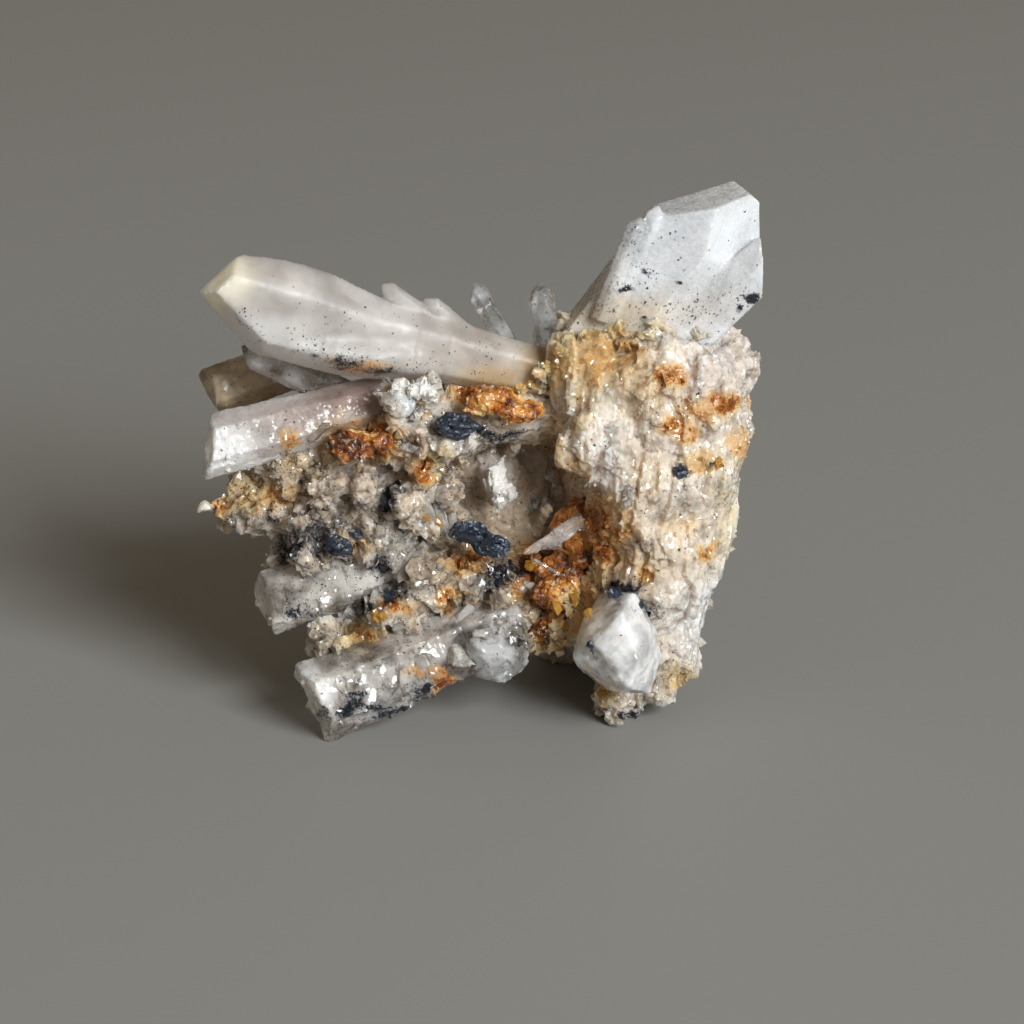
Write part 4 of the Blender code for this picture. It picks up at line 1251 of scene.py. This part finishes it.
def prism(bm, root, tip, width, seed):
    """Adds a six-sided crystal with an uneven point, from root to tip."""
    rng = np.random.default_rng(seed)
    way = (tip - root).normalized()
    side = way.orthogonal().normalized()
    other = way.cross(side)
    length = (tip - root).length
    squeeze = rng.uniform(0.6, 1.0)
    rings = []
    for share, size in ((0.0, 1.05), (0.55, 0.98), (1.0, 0.9)):
        ring = []
        for i in range(6):
            turn = math.radians(60.0 * i) + seed
            reach = 0.5 * width * size * rng.uniform(0.92, 1.08)
            end = (length - width * rng.uniform(0.35, 0.75)) * share
            ring.append(
                bm.verts.new(root + way * end + side * reach * math.cos(turn) + other * reach * squeeze * math.sin(turn))
            )
        rings.append(ring)
    point = bm.verts.new(tip)
    bm.faces.new(rings[0][::-1])
    for low, high in zip(rings, rings[1:]):
        for i in range(6):
            bm.faces.new((low[i], low[(i + 1) % 6], high[(i + 1) % 6], high[i]))
    for i in range(6):
        bm.faces.new((rings[-1][i], rings[-1][(i + 1) % 6], point))


def clean_up(piece, colour_of, finish, slot):
    """Stains and dresses a piece of small crystals."""
    move_to(piece, spots_of(piece)[0])
    places, ways = spots_of(piece)
    tint, amounts = stain(places, ways)
    for name in ("honey", "rust", "soot"):
        amounts[name] = amounts[name] * colour_of[3]
    keep(piece, tint * 0.3 + np.array(colour_of[:3]) * 0.7, amounts, np.full(len(places), 0.04))
    shade(piece)
    dress(piece, finish, slot)


def placed_crystals(name, finish, slot, tone, rows):
    """Single crystals that the display face shows: root (u, v), tip (u, v), width, lift towards the eye."""
    bm = bmesh.new()
    for i, (u0, v0, u1, v1, width, lift) in enumerate(rows):
        root, to_eye = touch(u0, v0)
        if root is None:
            continue
        across = Vector((1.0, 0.0, 0.0)) * (u1 - u0) * MM + Vector(EYE_UP) * (v1 - v0) * MM
        tip = root + across * 0.8 + to_eye * lift * MM
        prism(bm, root - (tip - root) * 0.3 - to_eye * 0.4 * MM, tip, width * MM, 7 * i + len(name))
    bmesh.ops.recalc_face_normals(bm, faces=bm.faces)
    mesh = bpy.data.meshes.new(name)
    bm.to_mesh(mesh)
    bm.free()
    piece = link(name, mesh)
    shaped(piece, "SUBSURF", levels=2, subdivision_type="SIMPLE")
    clean_up(piece, tone, finish, slot)
    return piece


def placed_shards(name, finish, slot, tone, rows, rough=1.0):
    """Broken lumps that the display face shows: middle (u, v), width, height, turn in degrees, lift."""
    pieces = []
    for i, (u, v, wide, high, turn, lift) in enumerate(rows):
        spot, to_eye = touch(u, v)
        if spot is None:
            continue
        shard = chip(f"{name}_{i}", (1.0, 1.0, 1.0), 7 * i + len(name))
        bpy.context.scene.collection.objects.link(shard)
        right = Vector((1.0, 0.0, 0.0))
        up = Vector(EYE_UP)
        c, s = math.cos(math.radians(turn)), math.sin(math.radians(turn))
        for vertex in shard.data.vertices:
            x, y, z = vertex.co
            flat = (right * (x * wide * c - y * high * s) + up * (x * wide * s + y * high * c)) * MM
            vertex.co = spot + flat + to_eye * (z * min(wide, high) * 0.8 + lift) * MM
        pieces.append(shard)
    bm = bmesh.new()
    for shard in pieces:
        bm.from_mesh(shard.data)
        bpy.data.objects.remove(shard)
    bmesh.ops.recalc_face_normals(bm, faces=bm.faces)
    mesh = bpy.data.meshes.new(name)
    bm.to_mesh(mesh)
    bm.free()
    piece = link(name, mesh)
    shaped(piece, "REMESH", mode="VOXEL", voxel_size=0.17 * MM)
    places, ways = spots_of(piece)
    rise = broken(places, ways, 1.6 * MM, 0.6, 0.2, 900) + broken(places, ways, 0.7 * MM, 0.6, 0.3, 940)
    move_to(piece, places + ways * rise[:, None] * rough)
    shattered(piece, 0.35)
    clean_up(piece, tone, finish, slot)
    return piece


LEDGE_WASHES = (
    (-19.0, 14.0, 7.0, 2.6, 0.9, (0.36, 0.235, 0.19)),
    (-26.0, 12.0, 5.0, 2.0, 0.5, (0.50, 0.38, 0.33)),
    (-36.0, 7.0, 4.0, 4.0, 0.8, (0.86, 0.86, 0.86)),
)
FACET_HOLLOW = ((-1.0, -18.6, 3.0, 2.6, -1.0),)
FOOT_WASHES = (
    (-24.6, -22.0, 2.6, 5.0, 0.9, (0.90, 0.88, 0.85)),
    (-12.0, -16.4, 5.0, 2.4, 0.7, (0.50, 0.40, 0.31)),
    (-10.0, -20.6, 4.0, 1.8, 0.7, (0.80, 0.79, 0.78)),
    (-15.0, -24.0, 5.0, 1.6, 0.7, (0.34, 0.35, 0.37)),
)

MASS = quartz_mass()
GREAT = crystal("great_prism", "great_crystal", MILKY, "milky_quartz", 0.27, chips=0.12, worn=0.25, rubbed=GREAT_RIDGE,
                swell=GREAT_SWELL, colour=great_colour)
WING = crystal("wing_blade", "wing_crystal", FROSTED, "milky_quartz", 0.25, chips=0.05, worn=0.3, colour=wing_colour)
UPPER = crystal("upper_ledge", "upper_ledge_crystal", LEDGE, "milky_quartz", chips=0.2, breaks=0.2,
                colour=plain_colour((0.72, 0.66, 0.63), 0.8, 0.05, LEDGE_WASHES))
MIDDLE = crystal("middle_ledge", "middle_ledge_crystal", GLASSY, "milky_quartz", chips=0.2, breaks=0.3,
                 colour=plain_colour((0.60, 0.53, 0.45), 1.0, 0.4))
LEFT_FOOT = crystal("left_foot", "left_foot_crystal", GLASSY, "clear_quartz", lines=0.1, chips=0.3, breaks=0.5,
                    colour=plain_colour((0.66, 0.60, 0.54), 1.0, 0.3, FOOT_WASHES))
crystal("right_foot", "right_foot_crystal", ICY, "clear_quartz", chips=0.25, worn=0.15,
        colour=plain_colour((0.98, 0.95, 0.93), 0.6, 0.03))
crystal("facet", "facet_crystal", GLASSY, "clear_quartz", chips=0.1, breaks=0.4, worn=0.1, swell=FACET_HOLLOW,
        colour=plain_colour((0.58, 0.60, 0.63), 0.8, 0.15))
crystal("spike", "spike_crystal", GLASSY, "clear_quartz", 0.18, breaks=0.6,
        colour=plain_colour((0.74, 0.63, 0.58), 0.4))
crystal("smoky_stub", "smoky_crystal", SMOKY, "smoky_quartz", colour=plain_colour((0.62, 0.54, 0.42), 0.3))
crystal("glassy_crystal_dressed", "glassy_crystal", CLEAR, "clear_quartz", 0.2,
        colour=plain_colour((0.88, 0.86, 0.86), 0.3))
crystal("left_point", "left_standing_crystal", CLEAR, "clear_quartz", 0.16,
        colour=plain_colour((0.9, 0.9, 0.9), 0.2))
crystal("right_point", "right_standing_crystal", CLEAR, "clear_quartz", 0.16,
        colour=plain_colour((0.9, 0.9, 0.9), 0.2))
hollow_crust()
for i, node in enumerate(LUMPS):
    lump(f"{node}_dressed", node, OXIDE, "black_oxide", 0.16, 0.5, 0.45, 0.1, 400 + 20 * i, 0.75)
RUSTY_PIECES = [
    lump(f"{node}_dressed", node, finish, "limonite", 0.22, 1.3, 0.3, 0.4, 500 + 20 * i)
    for i, (node, finish) in enumerate(zip(RUSTY, (AMBER_LIMONITE, HONEY_LIMONITE, HONEY_LIMONITE)))
]

placed_crystals("clear_prisms", GLASSY, "clear_quartz", (0.72, 0.67, 0.60, 0.6), (
    (-8.8, -1.2, -10.4, 4.6, 1.5, 0.8),
    (-10.0, -0.6, -12.0, 4.0, 1.2, 0.8),
    (-7.4, -0.8, -8.2, 3.8, 1.2, 0.6),
    (-11.6, -0.4, -14.2, 2.4, 1.0, 0.6),
    (-12.6, -6.0, -14.6, -9.6, 1.6, 1.0),
    (-20.6, -2.6, -22.6, -0.4, 1.5, 0.8),
    (-7.0, 8.0, -11.6, 9.0, 1.5, 0.8),
    (-24.6, 9.6, -22.4, 11.6, 1.3, 0.8),
    (-5.0, -11.6, -7.6, -14.6, 1.5, 0.8),
    (-3.4, -8.4, -5.6, -12.2, 1.7, 0.6),
    (-12.2, -12.6, -15.6, -15.4, 1.7, 0.8),
    (4.8, 5.6, 3.6, -2.4, 1.3, 0.8),
    (-21.0, 5.6, -18.4, 7.6, 1.3, 0.8),
    (-16.6, 5.2, -14.0, 6.2, 1.4, 0.8),
))
placed_crystals("bright_needles", CLEAR, "clear_quartz", (0.95, 0.95, 0.95, 0.0), (
    (15.0, 8.6, 18.8, 12.8, 0.45, 0.9),
    (-0.1, -0.4, 1.3, -2.0, 0.42, 0.5),
    (5.6, -7.6, 1.8, -5.4, 0.5, 0.8),
    (-21.2, -1.2, -22.6, 0.6, 0.4, 0.6),
    (8.0, -21.6, 10.0, -22.8, 0.3, 0.8),
))
placed_crystals("golden_prisms", GOLD, "sugary_quartz", (0.80, 0.50, 0.14, 0.3), (
    (-11.0, -0.6, -12.6, 1.0, 1.0, 0.5),
    (-9.2, -1.6, -10.6, -0.4, 1.0, 0.5),
    (3.0, -6.4, 3.8, -8.0, 1.5, 0.7),
    (7.6, -10.4, 8.0, -12.4, 1.5, 0.7),
    (5.4, -11.4, 5.8, -13.4, 1.7, 0.7),
    (9.6, -12.8, 10.2, -14.6, 1.4, 0.6),
    (11.2, -22.6, 12.2, -23.8, 1.2, 0.6),
))
placed_shards("pale_shard", DRUSE, "clear_quartz", (0.70, 0.68, 0.66, 0.35), (
    (-2.2, 5.2, 5.2, 6.6, 14.0, 3.0),
    (-1.0, 1.8, 3.8, 5.6, 8.0, 2.8),
    (-6.8, -18.2, 4.2, 4.6, 30.0, 0.6),
    (-3.6, -15.2, 3.0, 2.4, 20.0, 0.6),
    (-6.9, -23.0, 1.8, 2.8, 10.0, 0.4),
), 0.45)
placed_shards("white_shards", DRUSE, "clear_quartz", (0.84, 0.82, 0.80, 0.35), (
    (-13.8, 14.6, 5.2, 3.4, 10.0, 0.6),
    (-10.4, 15.4, 4.6, 3.4, -20.0, 0.6),
    (-11.6, 13.0, 3.6, 2.4, 0.0, 0.6),
    (-12.6, 8.0, 4.2, 1.6, 5.0, 0.5),
    (-23.6, 10.9, 1.8, 1.3, 0.0, 0.5),
    (2.4, 0.8, 2.6, 2.6, 0.0, 0.5),
    (5.8, 3.4, 2.6, 5.6, 10.0, 1.4),
    (4.8, -0.4, 2.2, 4.6, 12.0, 1.4),
    (-25.0, 4.4, 1.6, 3.4, -40.0, 0.5),
    (12.2, 7.4, 1.8, 4.0, 0.0, 0.5),
    (14.4, 1.6, 2.0, 4.2, 4.0, 0.5),
    (2.0, -8.8, 3.6, 2.4, -10.0, 0.6),
    (-1.0, -13.4, 2.6, 1.6, 0.0, 0.5),
    (-35.0, -0.8, 2.2, 1.8, 0.0, 0.3),
    (-12.0, -13.8, 2.4, 3.0, 30.0, 0.3),
    (-26.0, -20.8, 2.0, 3.2, 10.0, 0.3),
))
placed_shards("root_sugar", SUGARY, "sugary_quartz", (0.78, 0.64, 0.47, 1.0), (
    (6.0, 20.6, 4.2, 3.2, 30.0, 0.0),
    (5.0, 17.8, 4.6, 4.2, 10.0, 0.0),
    (3.2, 16.0, 4.4, 3.0, -10.0, 0.0),
    (6.6, 23.4, 2.6, 3.0, 50.0, -0.6),
    (0.8, 15.4, 3.4, 1.8, -6.0, 0.0),
    (9.6, 22.0, 4.6, 3.0, 40.0, 0.0),
    (13.4, 23.0, 5.0, 3.4, 10.0, -0.3),
    (18.4, 22.4, 5.0, 3.0, -10.0, -0.3),
    (23.0, 22.4, 4.0, 2.4, 10.0, -0.2),
))
placed_shards("golden_shards", GOLD, "sugary_quartz", (0.80, 0.50, 0.12, 0.2), (
    (-11.4, -0.7, 2.0, 1.3, 0.0, 0.4),
    (-9.4, -0.9, 1.8, 1.2, -20.0, 0.4),
    (-12.8, 0.8, 1.2, 1.3, 0.0, 0.3),
    (-16.8, -12.8, 1.7, 1.5, 20.0, 0.3),
    (-2.0, 3.6, 1.2, 1.6, 0.0, 1.6),
    (3.0, -6.6, 2.0, 2.6, 20.0, 0.4),
    (7.6, -10.4, 1.6, 2.4, 10.0, 0.4),
    (11.6, -23.0, 1.6, 1.4, 0.0, 0.3),
    (26.0, 6.4, 1.3, 1.7, -30.0, 0.1),
    (23.4, 6.6, 1.0, 1.4, 20.0, 0.1),
))
placed_shards("dark_shards", OXIDE, "black_oxide", (0.02, 0.02, 0.03, 0.0), (
    (21.1, 5.2, 1.7, 2.1, 10.0, 0.2),
    (25.0, 5.9, 0.8, 0.7, 0.0, 0.1),
    (9.9, -17.3, 0.9, 2.6, 12.0, 0.3),
    (10.6, -9.2, 2.4, 0.5, -28.0, 0.2),
    (13.6, -10.3, 3.0, 0.6, -14.0, 0.2),
    (17.0, -11.9, 3.0, 0.5, -32.0, 0.2),
    (-19.4, -2.7, 1.9, 1.7, 20.0, 0.3),
    (-15.8, 1.0, 1.2, 2.6, 0.0, 0.1),
    (15.8, -23.9, 0.9, 0.7, 0.0, 0.2),
    (14.4, -26.9, 1.2, 0.7, 20.0, 0.2),
    (-15.4, -10.7, 1.6, 1.0, 30.0, 0.2),
    (20.6, -0.5, 0.8, 0.6, 40.0, 0.1),
))
placed_shards("honey_shards", HONEY_GRAINS, "sugary_quartz", (0.80, 0.68, 0.46, 0.4), (
    (5.4, -15.6, 2.6, 4.6, 4.0, 0.8),
    (7.6, -11.4, 2.6, 2.4, 0.0, 0.6),
    (3.6, -17.0, 2.2, 1.8, 0.0, 0.6),
    (21.2, -20.6, 2.8, 2.2, 30.0, 0.4),
    (11.8, -23.4, 2.2, 1.8, 0.0, 0.4),
))

grow("sugar_grains", MASS, "sugary_quartz", Per_Area=1.2e6, Where="grain", Smallest=0.25 * MM, Largest=1.2 * MM,
     Tilt=1.5, Sink=0.3, Seed=3, Shapes=CHIPS, Finish=SUGARY)
grow("large_druse", MASS, "clear_quartz", Per_Area=0.08e6, Where="white", Smallest=1.0 * MM, Largest=3.0 * MM,
     Tilt=1.3, Sink=0.2, Seed=14, Shapes=POINTS, Finish=DRUSE)
grow("white_druse", MASS, "clear_quartz", Per_Area=0.5e6, Where="white", Smallest=0.4 * MM, Largest=1.3 * MM,
     Tilt=1.3, Sink=0.12, Seed=4, Shapes=POINTS, Finish=DRUSE)
grow("broken_plates", MASS, "clear_quartz", Per_Area=0.08e6, Where="white", Smallest=1.2 * MM, Largest=3.6 * MM,
     Tilt=1.5, Sink=0.2, Seed=15, Shapes=FLAKES, Finish=DRUSE)
grow("honey_druse", MASS, "sugary_quartz", Per_Area=0.6e6, Where="honey", Smallest=0.3 * MM, Largest=1.0 * MM,
     Tilt=1.5, Sink=0.2, Seed=5, Shapes=CHIPS, Finish=HONEY_GRAINS)
grow("rust_grains", MASS, "limonite", Per_Area=2.0e6, Where="rust", Smallest=0.2 * MM, Largest=0.7 * MM,
     Tilt=1.5, Sink=0.1, Seed=6, Shapes=CHIPS, Finish=RUST_GRAINS)
grow("black_specks", MASS, "black_oxide", Per_Area=2.6e6, Where="soot", Smallest=0.2 * MM, Largest=0.7 * MM,
     Tilt=0.8, Sink=0.1, Seed=7, Shapes=FLAKES, Finish=BLACK_GRAINS)
for i, (name, carrier) in enumerate((("upper", UPPER), ("middle", MIDDLE), ("foot", LEFT_FOOT))):
    grow(f"{name}_grains", carrier, "clear_quartz", Per_Area=0.4e6, Where="grain", Smallest=0.4 * MM,
         Largest=1.6 * MM, Tilt=1.2, Sink=0.25, Seed=10 + i, Shapes=POINTS, Finish=DRUSE)
    grow(f"{name}_specks", carrier, "black_oxide", Per_Area=2.0e6, Where="soot", Smallest=0.2 * MM,
         Largest=0.6 * MM, Tilt=0.8, Sink=0.1, Seed=20 + i, Shapes=FLAKES, Finish=BLACK_GRAINS)
for i, (name, carrier) in enumerate((("great", GREAT), ("wing", WING))):
    grow(f"{name}_specks", carrier, "black_oxide", Per_Area=3.0e6, Where="soot", Smallest=0.2 * MM,
         Largest=0.6 * MM, Tilt=0.8, Sink=0.1, Seed=40 + i, Shapes=FLAKES, Finish=BLACK_GRAINS)
for i, carrier in enumerate(RUSTY_PIECES):
    grow(f"rusty_sugar_{i}", carrier, "sugary_quartz", Per_Area=0.8e6, Where="grain", Smallest=0.4 * MM,
         Largest=1.6 * MM, Tilt=1.4, Sink=0.2, Seed=30 + i, Shapes=CHIPS, Finish=PALE_GRAINS)


# Floor, light and camera

LIGHT_TURN = math.radians(-56.0)
LIGHT_HEIGHT = math.radians(29.0)
LIGHT_DISTANCE = 2.5


def floor():
    size = 3.0
    mesh = bpy.data.meshes.new("floor")
    mesh.from_pydata([(-size, -size, 0), (size, -size, 0), (size, size, 0), (-size, size, 0)], [], [(0, 1, 2, 3)])
    piece = link("floor", mesh)
    made = Finish("floor", roughness=0.6)
    made.set("Base Color", (0.292, 0.288, 0.274, 1.0))
    mesh.materials.append(made.material)


def window():
    light = bpy.data.lights.new("window", "AREA")
    light.size = 1.0
    light.energy = 77.0
    light.color = (0.95, 0.985, 1.0)
    lamp = link("window", light)
    flat = math.cos(LIGHT_HEIGHT) * LIGHT_DISTANCE
    lamp.location = (flat * math.cos(LIGHT_TURN), flat * math.sin(LIGHT_TURN), math.sin(LIGHT_HEIGHT) * LIGHT_DISTANCE)
    lamp.rotation_euler = (Vector((0.0, 0.0, 0.03)) - lamp.location).to_track_quat("-Z", "Y").to_euler()


def room():
    made = bpy.data.worlds.new("room")
    made.use_nodes = True
    made.node_tree.nodes["Background"].inputs[0].default_value = (1.0, 0.84, 0.64, 1.0)
    made.node_tree.nodes["Background"].inputs[1].default_value = 0.18
    bpy.context.scene.world = made


def camera():
    seen = bpy.data.cameras.new("camera")
    seen.sensor_width = SENSOR
    seen.lens = SENSOR * EYE_DISTANCE / PICTURE_WIDTH
    seen.clip_start = 0.01
    made = link("camera", seen)
    forward = Vector(EYE_FORWARD)
    made.location = Vector(-BASE_MIDDLE) * MM - forward * EYE_DISTANCE * MM
    made.rotation_euler = forward.to_track_quat("-Z", "Y").to_euler()
    bpy.context.scene.camera = made


floor()
window()
room()
camera()
bpy.context.scene.view_settings.view_transform = "Standard"
